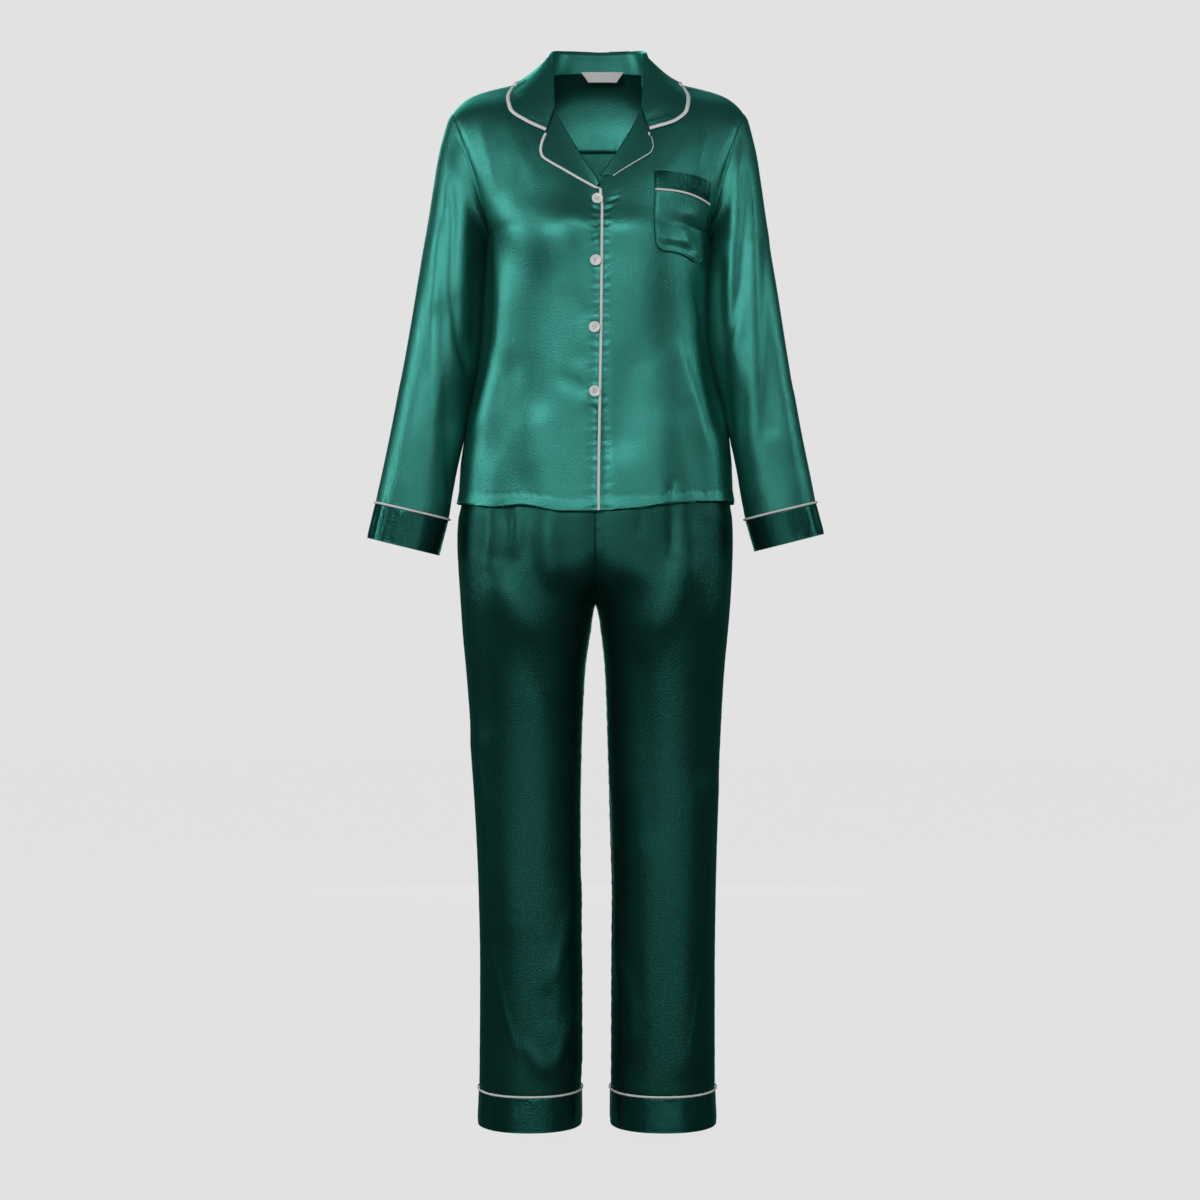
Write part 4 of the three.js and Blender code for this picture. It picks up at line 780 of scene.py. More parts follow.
def evened(points, share, passes=40):
    """Lets the cloth run smoothly from row to row, as much as share allows."""
    even = points.copy()
    for _ in range(passes):
        even[1:-1] = even[:-2] * 0.25 + even[1:-1] * 0.5 + even[2:] * 0.25
    return mix(points, even, share[..., None])


def puckered(distance, along, reach, depth, wave, phase=0.0):
    """A seam draws the cloth in, in small uneven puckers."""
    drift = 1.6 * np.sin(along / (wave * 1.3) + distance / 9)
    fine = np.sin(along * 2 * math.pi / wave + phase + drift)
    uneven = fine + 0.6 * np.sin(along * 3.7 / wave + 1.3)
    return -depth * np.exp(-((distance / reach) ** 2)) * (0.6 + 0.4 * uneven)


def rolled(distance):
    """The cloth turns in at a seam."""
    return -0.9 * np.exp(-((distance / 1.4) ** 2))


# Materials
def new_material(name):
    material = bpy.data.materials.new(name)
    material.use_nodes = True
    tree = material.node_tree
    return material, tree.nodes, tree.links, tree.nodes["Principled BSDF"]


def fill(node, sockets):
    for name, value in sockets.items():
        node.inputs[name].default_value = value


def added(nodes, kind, sockets, **settings):
    """A new shader node with its settings and the values of its sockets."""
    node = nodes.new(f"ShaderNode{kind}")
    for name, value in settings.items():
        setattr(node, name, value)
    fill(node, sockets)
    return node


def noise_along(nodes, links, place, size, detail):
    """Noise that is stretched along the cloth."""
    scaled = added(nodes, "Mapping", {"Scale": size})
    noise = added(nodes, "TexNoise", {"Scale": 1, "Detail": detail})
    links.new(place.outputs["UV"], scaled.inputs["Vector"])
    links.new(scaled.outputs["Vector"], noise.inputs["Vector"])
    return noise


def toned(nodes, links, shader, share, dark, light):
    """The base colour goes from dark to light with the share."""
    tone = added(nodes, "Mix", {}, data_type="RGBA")
    fill(tone, {6: (*dark, 1), 7: (*light, 1)})
    links.new(share, tone.inputs[0])
    links.new(tone.outputs[2], shader.inputs["Base Color"])


def satin(name, deep, bright, roughness=0.37):
    """Satin: long floats along the warp, a soft tinted shine, and a faint uneven grain."""
    material, nodes, links, shader = new_material(name)
    place = nodes.new("ShaderNodeTexCoord")
    grain = noise_along(nodes, links, place, (620, 380, 1), 3)
    ripple = noise_along(nodes, links, place, (95, 38, 1), 1.5)
    cloud = added(nodes, "TexNoise", {"Scale": 14, "Detail": 2})
    links.new(place.outputs["Object"], cloud.inputs["Vector"])
    half = added(nodes, "Math", {1: 0.45}, operation="MULTIPLY")
    links.new(cloud.outputs["Fac"], half.inputs[0])
    blend = added(nodes, "Math", {1: 0.55}, operation="MULTIPLY_ADD")
    links.new(grain.outputs["Fac"], blend.inputs[0])
    links.new(half.outputs[0], blend.inputs[2])
    toned(nodes, links, shader, blend.outputs[0], deep, bright)
    shine = added(nodes, "MapRange", {"To Min": roughness - 0.04, "To Max": roughness + 0.06})
    links.new(cloud.outputs["Fac"], shine.inputs["Value"])
    links.new(shine.outputs["Result"], shader.inputs["Roughness"])
    soft = added(nodes, "Bump", {"Strength": 0.35, "Distance": 0.0007})
    links.new(ripple.outputs["Fac"], soft.inputs["Height"])
    weave = added(nodes, "Bump", {"Strength": 0.8, "Distance": 0.0006})
    links.new(grain.outputs["Fac"], weave.inputs["Height"])
    links.new(soft.outputs["Normal"], weave.inputs["Normal"])
    links.new(weave.outputs["Normal"], shader.inputs["Normal"])
    fill(shader, {"Metallic": 0.85, "Specular IOR Level": 0.45, "Specular Tint": (0.3, 1.0, 0.85, 1)})
    fill(shader, {"Sheen Weight": 0.05, "Sheen Roughness": 0.35, "Sheen Tint": (0.2, 0.85, 0.7, 1)})
    return material


def woven(name, colour, scale, roughness=0.75, depth=0.00015):
    """A plain corded or taped weave: two crossing sets of threads."""
    material, nodes, links, shader = new_material(name)
    place = nodes.new("ShaderNodeTexCoord")
    both = added(nodes, "Math", {}, operation="MULTIPLY")
    for k, direction in enumerate(("X", "Y")):
        wave = added(nodes, "TexWave", {"Scale": scale, "Distortion": 0.6}, bands_direction=direction)
        links.new(place.outputs["UV"], wave.inputs["Vector"])
        links.new(wave.outputs["Fac"], both.inputs[k])
    bump = added(nodes, "Bump", {"Strength": 0.5, "Distance": depth})
    links.new(both.outputs[0], bump.inputs["Height"])
    links.new(bump.outputs["Normal"], shader.inputs["Normal"])
    toned(nodes, links, shader, both.outputs[0], [value * 0.82 for value in colour], colour)
    fill(shader, {"Roughness": roughness, "Sheen Weight": 0.1})
    return material


def shell(name, colour):
    """Pearly button shell: polished, with faint clouds."""
    material, nodes, links, shader = new_material(name)
    place = nodes.new("ShaderNodeTexCoord")
    cloud = added(nodes, "TexNoise", {"Scale": 220, "Detail": 3, "Distortion": 1.5})
    links.new(place.outputs["Object"], cloud.inputs["Vector"])
    toned(nodes, links, shader, cloud.outputs["Fac"], [value * 0.8 for value in colour], colour)
    gloss = added(nodes, "MapRange", {"To Min": 0.16, "To Max": 0.3})
    links.new(cloud.outputs["Fac"], gloss.inputs["Value"])
    links.new(gloss.outputs["Result"], shader.inputs["Roughness"])
    fill(shader, {"Coat Weight": 0.35, "Coat Roughness": 0.12})
    return material


SHIRT_DEEP = (0.030, 0.192, 0.158)
SHIRT_BRIGHT = (0.052, 0.300, 0.250)
# The bands are the same satin with a darker base colour: painted shade that darkens the cuffs, the leg bands
# and the pocket band
BAND_SHADED_DEEP = (0.010, 0.080, 0.064)
BAND_SHADED_BRIGHT = (0.013, 0.098, 0.080)
# The trousers are the shirt's satin with a base colour about a third as bright: painted shade for the weaker
# light on the trousers
TROUSER_SHADED_DEEP = (0.009, 0.062, 0.050)
TROUSER_SHADED_BRIGHT = (0.012, 0.084, 0.067)
shirt_satin = satin("shirt_satin", SHIRT_DEEP, SHIRT_BRIGHT)
band_satin = satin("band_satin", BAND_SHADED_DEEP, BAND_SHADED_BRIGHT, 0.2)
trouser_satin = satin("trouser_satin", TROUSER_SHADED_DEEP, TROUSER_SHADED_BRIGHT)
piping_tape = woven("piping_tape", (0.95, 0.95, 0.94), 900)
label_tape = woven("label_tape", (0.86, 0.85, 0.83), 700)
sewing_thread = woven("sewing_thread", (0.026, 0.165, 0.125), 1500, 0.6)
white_thread = woven("white_thread", (0.78, 0.77, 0.74), 1500, 0.6)
button_shell = shell("button_shell", (0.95, 0.95, 0.93))


# Making the pieces
def mesh_of_grid(name, points, closed=False):
    """A grid that is bent to the points, with a UV map that is in metres along the cloth."""
    rows, columns = points.shape[:2]
    bm = bmesh.new()
    bm.loops.layers.uv.new("UVMap")
    bmesh.ops.create_grid(bm, x_segments=columns - 1, y_segments=rows - 1, size=0.5, calc_uvs=True)
    mesh = bpy.data.meshes.new(name)
    bm.to_mesh(mesh)
    bm.free()
    flat = np.empty(len(mesh.vertices) * 3)
    mesh.vertices.foreach_get("co", flat)
    flat = flat.reshape(-1, 3)
    i = np.rint((flat[:, 0] + 0.5) * (columns - 1)).astype(int)
    j = np.rint((flat[:, 1] + 0.5) * (rows - 1)).astype(int)
    mesh.vertices.foreach_set("co", (points[j, i] * MM).ravel())
    u = arc(points, 1)
    v = arc(points, 0)
    u = u - u[:, columns // 2 : columns // 2 + 1]
    corner = np.empty(len(mesh.loops), dtype=np.int32)
    mesh.loops.foreach_get("vertex_index", corner)
    uv = np.stack([u[j[corner], i[corner]], v[j[corner], i[corner]]], axis=-1) * MM
    mesh.uv_layers["UVMap"].data.foreach_set("uv", uv.ravel())
    if closed:
        bm = bmesh.new()
        bm.from_mesh(mesh)
        bmesh.ops.remove_doubles(bm, verts=bm.verts, dist=1e-6)
        bm.to_mesh(mesh)
        bm.free()
    mesh.update()
    return mesh


def place_piece(name, mesh, material, node):
    mesh.polygons.foreach_set("use_smooth", [True] * len(mesh.polygons))
    mesh.materials.append(material)
    piece = bpy.data.objects.new(name, mesh)
    bpy.context.collection.objects.link(piece)
    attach(piece, "root")
    if node:
        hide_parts(node)
    return piece


def walled(mesh, outward, thickness):
    """Gives a sheet its thickness on the inside, with crisp edges."""
    normals = np.empty(len(mesh.polygons) * 3)
    mesh.polygons.foreach_get("normal", normals)
    middle = normals.reshape(-1, 3)[len(mesh.polygons) // 2]
    if np.dot(middle, outward) < 0:
        mesh.flip_normals()
    holder = bpy.data.objects.new(mesh.name, mesh)
    bpy.context.collection.objects.link(holder)
    wall = holder.modifiers.new("wall", "SOLIDIFY")
    wall.thickness = thickness * MM
    wall.offset = -1
    finished = bpy.data.meshes.new_from_object(holder.evaluated_get(bpy.context.evaluated_depsgraph_get()))
    bpy.data.objects.remove(holder)
    finished.name = mesh.name
    finished.set_sharp_from_angle(angle=math.radians(55))
    return finished


def cloth(name, points, normals, material, closed=False,
          thickness=SATIN):
    """One cut piece of cloth, with the wall that its solid has."""
    mesh = mesh_of_grid(name + "_cloth", points, closed)
    count = len(mesh.polygons) // 2
    columns = points.shape[1] - 1
    outward = normals[count // columns, count % columns]
    mesh = walled(mesh, outward, thickness)
    piece = place_piece(name + "_cloth", mesh, material, name)
    return piece


def creased(points, faces, *layers):
    """Lifts a grid of points along its normals by each layer in turn."""
    for layer in layers:
        normals = grid_normals(points, faces)
        points = points + normals * layer(points)[..., None]
    return points, grid_normals(points, faces)


def at_front(points):
    """1 on the front half of a tube, 0 on its back half, and a soft change between them."""
    return ease((6 - points[..., 1]) / 24)


def creases(drapes, calm=1.0, behind=None):
    """The lift of a set of drapes in front, and of another set behind where there is one."""

    def lift(points):
        x, z = wander(points[..., 0], points[..., 2])
        height = drape_height(drapes, x, z)
        if behind:
            height = mix(drape_height(behind, x, z), height, at_front(points))
        faces = np.abs(grid_normals(points)[..., 1])
        return height * calm * ease((faces - 0.05) / 0.45)

    return lift


EDGES = (0.0012, 0.003, 0.006)
HEM_EDGES = (0.0012, 0.003, 0.006, 0.0205, 0.023, 0.0255, 0.028, 0.031)
TOWARDS_BODY = 4.0
TUCK = 26
SIDE_FULLNESS = 1.8
SLEEVE_FOLD_SHARE = 0.7
SLEEVE_DRAPE_SHARE = 0.6


def stitched_hem(up, across):
    """A puckered line of sewing, and a double band below it that flares a little."""
    line = puckered(up - HEM_DEPTH, across, 1.5, 1.0, 9, 1)
    band_edge = 0.5 * (1 - ease((up - HEM_DEPTH + 1) / 2))
    return line + band_edge + 1.3 * ease(1 - up / HEM_DEPTH)


def shirt_front(side):
    spot, _ = fronts[side]
    s, t = np.meshgrid(spaced(100, EDGES), spaced(196, HEM_EDGES))
    points = joined(spot(s, t), 1.3, "last_row", "last_column")
    across = arc(points, 1)
    up = arc(points, 0)
    width = across[:, -1:]
    middle_rows = ease((t - 0.3) / 0.1) * ease((0.92 - t) / 0.06)
    points = evened(points, ease((width - across - 1) / 9) * middle_rows)
    calm = ease(up / 20) * ease((width - across) / 12) * ease((1 - t) / 0.04)
    calm = calm * ease(across / 6 + 0.3)

    def sewing(points):
        placket = 6 if side < 0 else UNDERLAP + 9
        opening = puckered(across - placket, up, 5.5, 1.5, 11) * ease((0.78 - t) / 0.02)
        side_seam = puckered(width - across, up, 10, 0.5, 21, 2) + rolled(width - across)
        full = np.exp(-(((width - across) / 16) ** 2)) * ease((up - 70) / 40) * ease((0.67 - t) / 0.03)
        side_seam += SIDE_FULLNESS * full
        shoulder = rolled((1 - t) * up[-1:, :]) * ease((s - 0.02) / 0.02)
        return opening + stitched_hem(up, across) + side_seam + shoulder

    points, normals = creased(points, FORWARD, creases(SHIRT_FRONT_DRAPES, calm), sewing)
    cloth(f"shirt_front_{NAMES[side]}", points, normals, shirt_satin)
    return up, points, normals


def shirt_back():
    spot, _ = surface(back_place, seen_folds(SHIRT_BACK_FOLDS), (0.05, 0.5), BACKWARD)
    s, t = np.meshgrid(spaced(150, EDGES) * 2 - 1, spaced(128, HEM_EDGES))
    points = joined(spot(s, t), 0.5, "last_row", "first_column", "last_column")
    up = arc(points, 0)
    across = arc(points, 1)
    edge = np.minimum(across, across[:, -1:] - across)
    points = evened(points, ease((edge - 1) / 9) * ease((t - 0.4) / 0.1) * ease((0.97 - t) / 0.06))
    calm = ease(up / 20) * ease(edge / 12) * ease((up[-1:, :] - up) / 20)

    def sewing(points):
        seams = puckered(edge, up, 10, 0.5, 21, 2) + rolled(edge) + rolled(up[-1:, :] - up)
        seams += SIDE_FULLNESS * np.exp(-((edge / 16) ** 2)) * ease((up - 70) / 40) * ease((0.77 - t) / 0.03)
        return stitched_hem(up, across) + seams

    points, normals = creased(points, BACKWARD, creases(SHIRT_BACK_DRAPES, calm), sewing)
    cloth("shirt_back", points, normals, shirt_satin)
    return up, points, normals


def shirt_yoke():
    spot, _ = yoke
    s, t = np.meshgrid(spaced(150, EDGES) * 2 - 1, spaced(44, (0.004, 0.012, 0.03)))
    points = joined(spot(s, t), 0.5, "first_row", "last_row", "first_column", "last_column")
    up = arc(points, 0)
    across = arc(points, 1)
    edge = np.minimum(across, across[:, -1:] - across)

    def sewing(points):
        x = points[..., 0]
        gathers = np.sin(x / 1.9 + 0.8 * np.sin(x / 7))
        gathers = gathers * np.exp(-((x / 44) ** 4)) * np.exp(-((up / 11) ** 2))
        seams = rolled(edge) + rolled(up) + puckered(edge, up, 8, 0.4, 15)
        shoulder = rolled(up[-1:, :] - up) * ease((np.abs(s) - NECK_SHARE) / 0.02)
        return 0.75 * gathers * ease(up / 1.5) + seams + shoulder

    points, normals = creased(points, BACKWARD, sewing)
    cloth("shirt_yoke", points, normals, shirt_satin)


def tube_edges(points):
    """The distances from a tube's first and last row, and round it."""
    down = arc(points, 0)
    return down, down[-1:, :] - down, arc(points, 1)


def sleeve(side):
    def main_folds(plain, turn, t):
        x = plain[..., 0]
        z = plain[..., 2]
        behind = fold_height(SLEEVE_BACK_FOLDS, x, z)
        before = fold_height(SLEEVE_FRONT_FOLDS, x, z)
        both = SLEEVE_FOLD_SHARE * mix(behind, before, at_front(plain))
        return both * ease((t - 0.05) / 0.1) * ease((1 - t) / 0.06)

    def plain_sleeve(turn, t):
        return sleeve_place(side, turn, t)

    spot, _ = surface(plain_sleeve, main_folds, (0.0, 0.5), OUTWARD[side])
    turn, t = np.meshgrid(np.linspace(0, 1, 141), spaced(150, EDGES))
    points = spot(turn, t)
    inner = (0.5 - 0.5 * np.cos(turn * 2 * math.pi)) ** 2
    points[..., 0] -= side * TOWARDS_BODY * inner * ease((t - 0.01) / 0.04) * ease((0.93 - t) / 0.09)
    tuck = ease((turn - 0.25) / 0.2) * ease((0.62 - turn) / 0.12)
    points[..., 1] += TUCK * tuck * ease((t - 0.1) / 0.1) * ease((0.86 - t) / 0.12)
    points = joined(points, 1.3, "first_row", "last_row")
    top, bottom, around = tube_edges(points)
    calm = ease(top / 25) * ease(bottom / 14)

    def sewing(points):
        cap = puckered(top, around, 9, 0.6, 14) + rolled(top)
        wrist = puckered(bottom, around, 7, 0.5, 12, 1) + rolled(bottom)
        inner_seam = puckered((turn - 0.5) * 330, top, 5, 0.5, 16)
        return cap + wrist + inner_seam

    outward = outward_sign(points, 60, 0, OUTWARD[side])
    small_folds = creases(SLEEVE_FRONT_DRAPES, calm * SLEEVE_DRAPE_SHARE, SLEEVE_BACK_DRAPES)
    for layer in (small_folds, sewing):
        normals = grid_normals(points) * outward
        points = points + normals * layer(points)[..., None]
        points[:, -1] = points[:, 0]
    normals = grid_normals(points) * outward
    cloth(f"sleeve_{NAMES[side]}", points, normals, shirt_satin,
          closed=True)


def band_ripple(around, up, depth, wave):
    """A double band stays crisp, with faint upright waves."""
    uneven = np.sin(around * 2 * math.pi / wave) + 0.7 * np.sin(around * 2 * math.pi / (wave * 0.53) + 1.1)
    return depth * uneven * (0.5 + 0.5 * np.sin(around / 31 + up / 40))


def band(name, points, normals_out, ripple, material):
    points = joined(points, 0.4, "first_row")
    top, bottom, around = tube_edges(points)
    whole = around[:, -1:]
    wave = whole / round(float(whole.mean()) / ripple[1])
    normals = grid_normals(points) * normals_out
    crisp = ease(np.minimum(top, bottom) / 8) * 0.8 + 0.2
    lift = band_ripple(around, top, ripple[0], wave) * crisp + rolled(top)
    edge_line = puckered(bottom - 3, around, 1.2, 0.15, 5)
    points = points + normals * (lift + edge_line)[..., None]
    points[:, -1] = points[:, 0]
    normals = grid_normals(points) * normals_out
    cloth(name, points, normals, material, closed=True, thickness=BAND_CLOTH)


def outward_sign(points, row, column, outward):
    return np.sign(np.dot(grid_normals(points)[row, column], outward))


def cuff(side):
    turn, t = np.meshgrid(np.linspace(0, 1, 121), spaced(20, (0.01, 0.03)) * 0.994 + 0.006)
    points = cuff_place(side, turn, t)
    sign = outward_sign(points, 10, 0, OUTWARD[side])
    band(f"cuff_{NAMES[side]}", points, sign, (0.5, 31), band_satin)


def leg_band(side):
    rows = LEG_END - SEAM - spaced(20, (0.01, 0.03)) * (LEG_END - BAND_END)
    turn, z = np.meshgrid(np.linspace(0, 1, 131), rows)
    points = leg_ring(side, turn, z)
    sign = outward_sign(points, 10, 0, OUTWARD[side])
    band(f"leg_band_{NAMES[side]}", points, sign, (0.9, 52), band_satin)


def trouser_panel(side, front):
    main = TROUSER_FRONT_FOLDS if front else TROUSER_BACK_FOLDS
    small = TROUSER_FRONT_DRAPES if front else TROUSER_BACK_DRAPES
    faces = FORWARD if front else BACKWARD

    def folds(plain, s, z):
        height = fold_height(main, plain[..., 0], plain[..., 2])
        return height * ease((z - LEG_END) / 50) * ease((-548 - z) / 25)

    spot, _ = surface(
        lambda s, z: leg_place(side, front, s, z), folds, (0.5, -1000), faces,
        (LEG_END, WAISTBAND_BOTTOM), 1
    )
    share = spaced(200, EDGES)
    rows = LEG_END + share * (WAISTBAND_BOTTOM - LEG_END)
    rows[np.argmin(np.abs(rows - CROTCH_Z))] = CROTCH_Z - 0.01
    s, z = np.meshgrid(spaced(60, EDGES), rows)
    points = joined(spot(s, z), 0.45, "first_row", "first_column", "last_column")
    meets = z[:, -1] > CROTCH_Z - 1
    points[meets, -1, 0] = TROUSER_SEAM_X - side * 0.3
    up = arc(points, 0)
    across = arc(points, 1)
    width = across[:, -1:]
    edge = np.minimum(across, width - across)
    calm = ease(up / 14) * ease(edge / 12) * ease((-520 - z) / 25)
    near_crotch = np.exp(-(((z - CROTCH_Z) / 70) ** 2))
    points = evened(points, ease((width - across - 6) / 40) * near_crotch)

    def sewing(points):
        side_seam = puckered(across, up, 8, 0.45, 19) + rolled(across)
        inner_seam = puckered(width - across, up, 9, 0.8, 17, 2) + rolled(width - across)
        band_seam = puckered(up, across, 6, 0.4, 13) + rolled(up)
        gathers = 0.7 * np.sin(across / 2.6 + 1.2 * np.sin(across / 17))
        gathers = gathers * np.exp(-(((z - WAISTBAND_BOTTOM) / 45) ** 2))
        return side_seam + inner_seam + band_seam + gathers * ease(edge / 8)

    points, normals = creased(points, faces, creases(small, calm), sewing)
    name = f"trouser_{'front' if front else 'back'}_{NAMES[side]}"
    cloth(name, points, normals, trouser_satin)


def waistband():
    rows = WAISTBAND_BOTTOM + SEAM + spaced(20) * (WAISTBAND_TOP - WAISTBAND_BOTTOM - SEAM)
    turn, z = np.meshgrid(np.linspace(0, 1, 181), rows)
    points = waist_place(turn, z)
    sign = outward_sign(points, 10, 0, OUTWARD[LEFT])
    normals = grid_normals(points) * sign
    up = arc(points, 0)
    height = up[-1:, :]
    shirr = np.sin(turn * 2 * math.pi * 110) * np.sin(math.pi * up / height) * 0.5
    channels = -0.5 * sum(np.exp(-(((up - height * share) / 1.2) ** 2)) for share in (0.25, 0.5, 0.75))
    puff = 0.8 * np.sin(math.pi * up / height)
    points = points + normals * (shirr + channels + puff)[..., None]
    points[:, -1] = points[:, 0]
    cloth("waistband", points, normals, trouser_satin, closed=True,
          thickness=BAND_CLOTH)


# Collar, lapels and pocket lie on the shirt
def collar_grid(stations, rows):
    sections = []
    for side in (RIGHT, LEFT):
        at = np.abs(stations[stations * side > 0]) if side > 0 else np.abs(stations[stations <= 0])
        behind = at <= SHOULDER_K
        get = lambda column: read(COLLAR_ROWS, "k", at, column)
        front_spot, front_normal = fronts[side]
        yoke_spot, yoke_normal = yoke
        neck_s = np.where(behind, side * get("neck_s"), 0)
        neck_t = np.where(behind, 1, get("neck_t"))
        name = "r" if side < 0 else "l"
        seen_s, seen_t = on_front(side, side * get(f"edge_{name}"), get(f"edge_{name}z"))
        edge_s = np.where(behind, side * get("edge_s"), seen_s)
        edge_t = np.where(behind, get("edge_t"), seen_t)
        pick = lambda on_yoke, on_body: np.where(behind[:, None], on_yoke, on_body)
        normal = pick(yoke_normal(neck_s, neck_t), front_normal(neck_s, neck_t))
        root = pick(yoke_spot(neck_s, neck_t), front_spot(neck_s, neck_t))
        beside = pick(yoke_spot(neck_s, neck_t - 0.01), front_spot(neck_s + 0.01, neck_t))
        inward = unit(root - beside)
        rise = point(-side * get("lean"), get("back"), get("rise"))

        def fall(q):
            s = mix(neck_s, edge_s, q)
            t = mix(neck_t, edge_t, q)
            lift = mix(COLLAR_LIFT + 1.4, COLLAR_LIFT, q)
            lie = pick(yoke_spot(s, t), front_spot(s, t))
            facing = pick(yoke_normal(s, t), front_normal(s, t))
            return lie + facing * lift + rise * (1 - q) ** 1.5

        foot = root + inward * (CLOTH + SEAM * 2) - normal * CLOTH * 0.7
        roll = root + rise + inward * 0.5
        top = mix(roll, fall(0), 0.5) + unit(rise) * 1.6
        stand = [foot, mix(foot, roll, 0.5), mix(foot, roll, 0.88), roll, top, fall(0)]
        sections.append(np.stack([*stand, *[fall(q) for q in (0.12, 0.3, 0.5, 0.7, 0.86, 1)]]))
    return through(np.concatenate(sections, axis=1), rows)


def edge_stations(points, normals, width):
    """Where the piping runs, just outside the last row of a grid."""
    along = np.gradient(points[-1], axis=0)
    aside = unit(np.cross(along, normals[-1]))
    middle = int(len(along) * 0.4)
    if np.dot(aside[middle], points[-1][middle] - points[-2][middle]) < 0:
        aside = -aside
    centre = points[-1] + aside * (width / 2 + SEAM) - normals[-1] * CLOTH * 0.25
    return centre, normals[-1], aside


def piping(name, node, stations, width, thickness, closed=False):
    """A cord in a bias tape, swept along the stations."""
    centre, normal, aside = stations
    sides = 12
    angle = np.linspace(0, 2 * math.pi, sides + 1)[None, :, None]
    ring = aside[:, None] * np.cos(angle) * width / 2 + normal[:, None] * np.sin(angle) * thickness / 2
    points = centre[:, None] + ring
    if closed:
        points = np.concatenate([points, points[:1]], axis=0)
    mesh = mesh_of_grid(name, points, True)
    bm = bmesh.new()
    bm.from_mesh(mesh)
    bmesh.ops.holes_fill(bm, edges=[edge for edge in bm.edges if edge.is_boundary], sides=0)
    bmesh.ops.recalc_face_normals(bm, faces=bm.faces)
    bm.to_mesh(mesh)
    bm.free()
    mesh.set_sharp_from_angle(angle=math.radians(60))
    return place_piece(name, mesh, piping_tape, node)


def collar():
    half = np.concatenate([np.linspace(0, 0.5, 28)[1:], np.linspace(0.5, 1, 56)[1:]])
    points = collar_grid(np.concatenate([-half[::-1], [0], half]), 56)
    faces = BACKWARD
    across = arc(points, 1)
    fall = arc(points, 0)

    def sewing(points):
        edge = fall[-1:, :] - fall
        stitched = -0.22 * np.exp(-(((edge - 4.5) / 1.3) ** 2))
        soft = 0.5 * np.sin(across / 23 + 0.7 * np.sin(across / 41)) * ease(edge / 8) * ease(fall / 25)
        return stitched + soft

    normals = grid_normals(points, faces)
    points = points + normals * sewing(points)[..., None]
    normals = grid_normals(points, faces)
    cloth("collar", points, normals, shirt_satin,
          thickness=BAND_CLOTH)
    piping("collar_piping", "piping_collar", edge_stations(points, normals, COLLAR_PIPING), COLLAR_PIPING,
           PIPING_THICKNESS)


def lapel(side):
    v = np.linspace(0, LEFT_LAPEL_END if side > 0 else 1, 61)
    spot, normal = fronts[side]
    name = "r" if side < 0 else "l"
    roll_t = read(LAPEL_ROWS, "v", v, "roll_t")
    edge_x = side * read(LAPEL_ROWS, "v", v, f"edge_{name}")
    edge_s, edge_t = on_front(side, edge_x, read(LAPEL_ROWS, "v", v, f"edge_{name}z"))
    nothing = np.zeros_like(v)
    root = spot(nothing, roll_t)
    root_normal = normal(nothing, roll_t)
    inward = unit(root - spot(nothing + 0.01, roll_t))

    def away(out, up):
        return root + inward * out + root_normal * up

    def lie(u):
        s = mix(0, edge_s, u)
        t = mix(roll_t, edge_t, u)
        lift = LIFT + CLOTH + 1.6 * (1 - u) ** 2
        return spot(s, t) + normal(s, t) * lift

    wrap = [away(CLOTH + 1.2, -CLOTH * 0.7), away(CLOTH + 1.4, 1.4), away(1, 4)]
    points = through(np.stack([*wrap, *[lie(u) for u in (0.12, 0.3, 0.55, 0.8, 1)]]), 40)
    normals = grid_normals(points, FORWARD)
    normals[:, 0] = normals[:, 1]
    cloth(f"lapel_{NAMES[side]}", points, normals, shirt_satin,
          thickness=BAND_CLOTH)
    return edge_stations(points, normals, EDGE_PIPING if side < 0 else LAPEL_PIPING)


def front_piping(lapel_stations):
    """The right lapel's piping runs on down the front edge to the hem."""
    spot, normal = fronts[RIGHT]
    t = np.concatenate([[0.785, 0.775, 0.765], np.linspace(0.75, 0, 150)])
    lift = np.interp(t, [0, 0.75, 0.77, 0.785], [-0.9, -0.9, 0.2, 1.6])
    nothing = np.zeros_like(t)
    facing = normal(nothing, t)
    aside = unit(np.array([1.0, 0, 0]) - facing * facing[:, :1])
    centre = spot(nothing, t) + aside * (EDGE_PIPING / 2 + SEAM) + facing * lift[:, None]
    run = [np.concatenate(both) for both in zip(lapel_stations, (centre, facing, -aside))]
    piping("front_piping", "piping_front", run, EDGE_PIPING, PIPING_THICKNESS)


def tube_piping(name, node, place, at, step, count=140):
    """Piping round a tube's seam, standing on its outside."""
    turn = np.linspace(0, 1, count + 1)[:-1]
    here = place(turn, at)
    aside = unit(place(turn, at + step) - place(turn, at - step))
    along = unit(place(turn + 0.002, at) - place(turn - 0.002, at))
    normal = unit(np.cross(along, aside))
    if np.dot(normal[count // 4], here[count // 4] - here.mean(axis=0)) < 0:
        normal = -normal
    centre = here + normal * (PIPING_THICKNESS / 2 + SEAM)
    piping(name, node, (centre, normal, aside), BAND_PIPING, PIPING_THICKNESS, True)


def over_front(x, z):
    """How far the pocket stands off the shirt's main form, over the front's creases."""
    return LIFT + CLOTH + 0.5 + drape_height(SHIRT_FRONT_DRAPES, *wander(x, z))


def pocket_grid(v):
    u, v = np.meshgrid(np.linspace(0, 1, 61), v)
    x = mix(read(POCKET_ROWS, "v", v, "x"), read(POCKET_ROWS, "v", v, "to_x"), u)
    z = mix(read(POCKET_ROWS, "v", v, "z"), read(POCKET_ROWS, "v", v, "to_z"), u ** 3)
    s, t = on_front(LEFT, x, z)
    spot, normal = fronts[LEFT]
    facing = normal(s, t)
    return spot(s, t) + facing * over_front(x, z)[..., None], facing


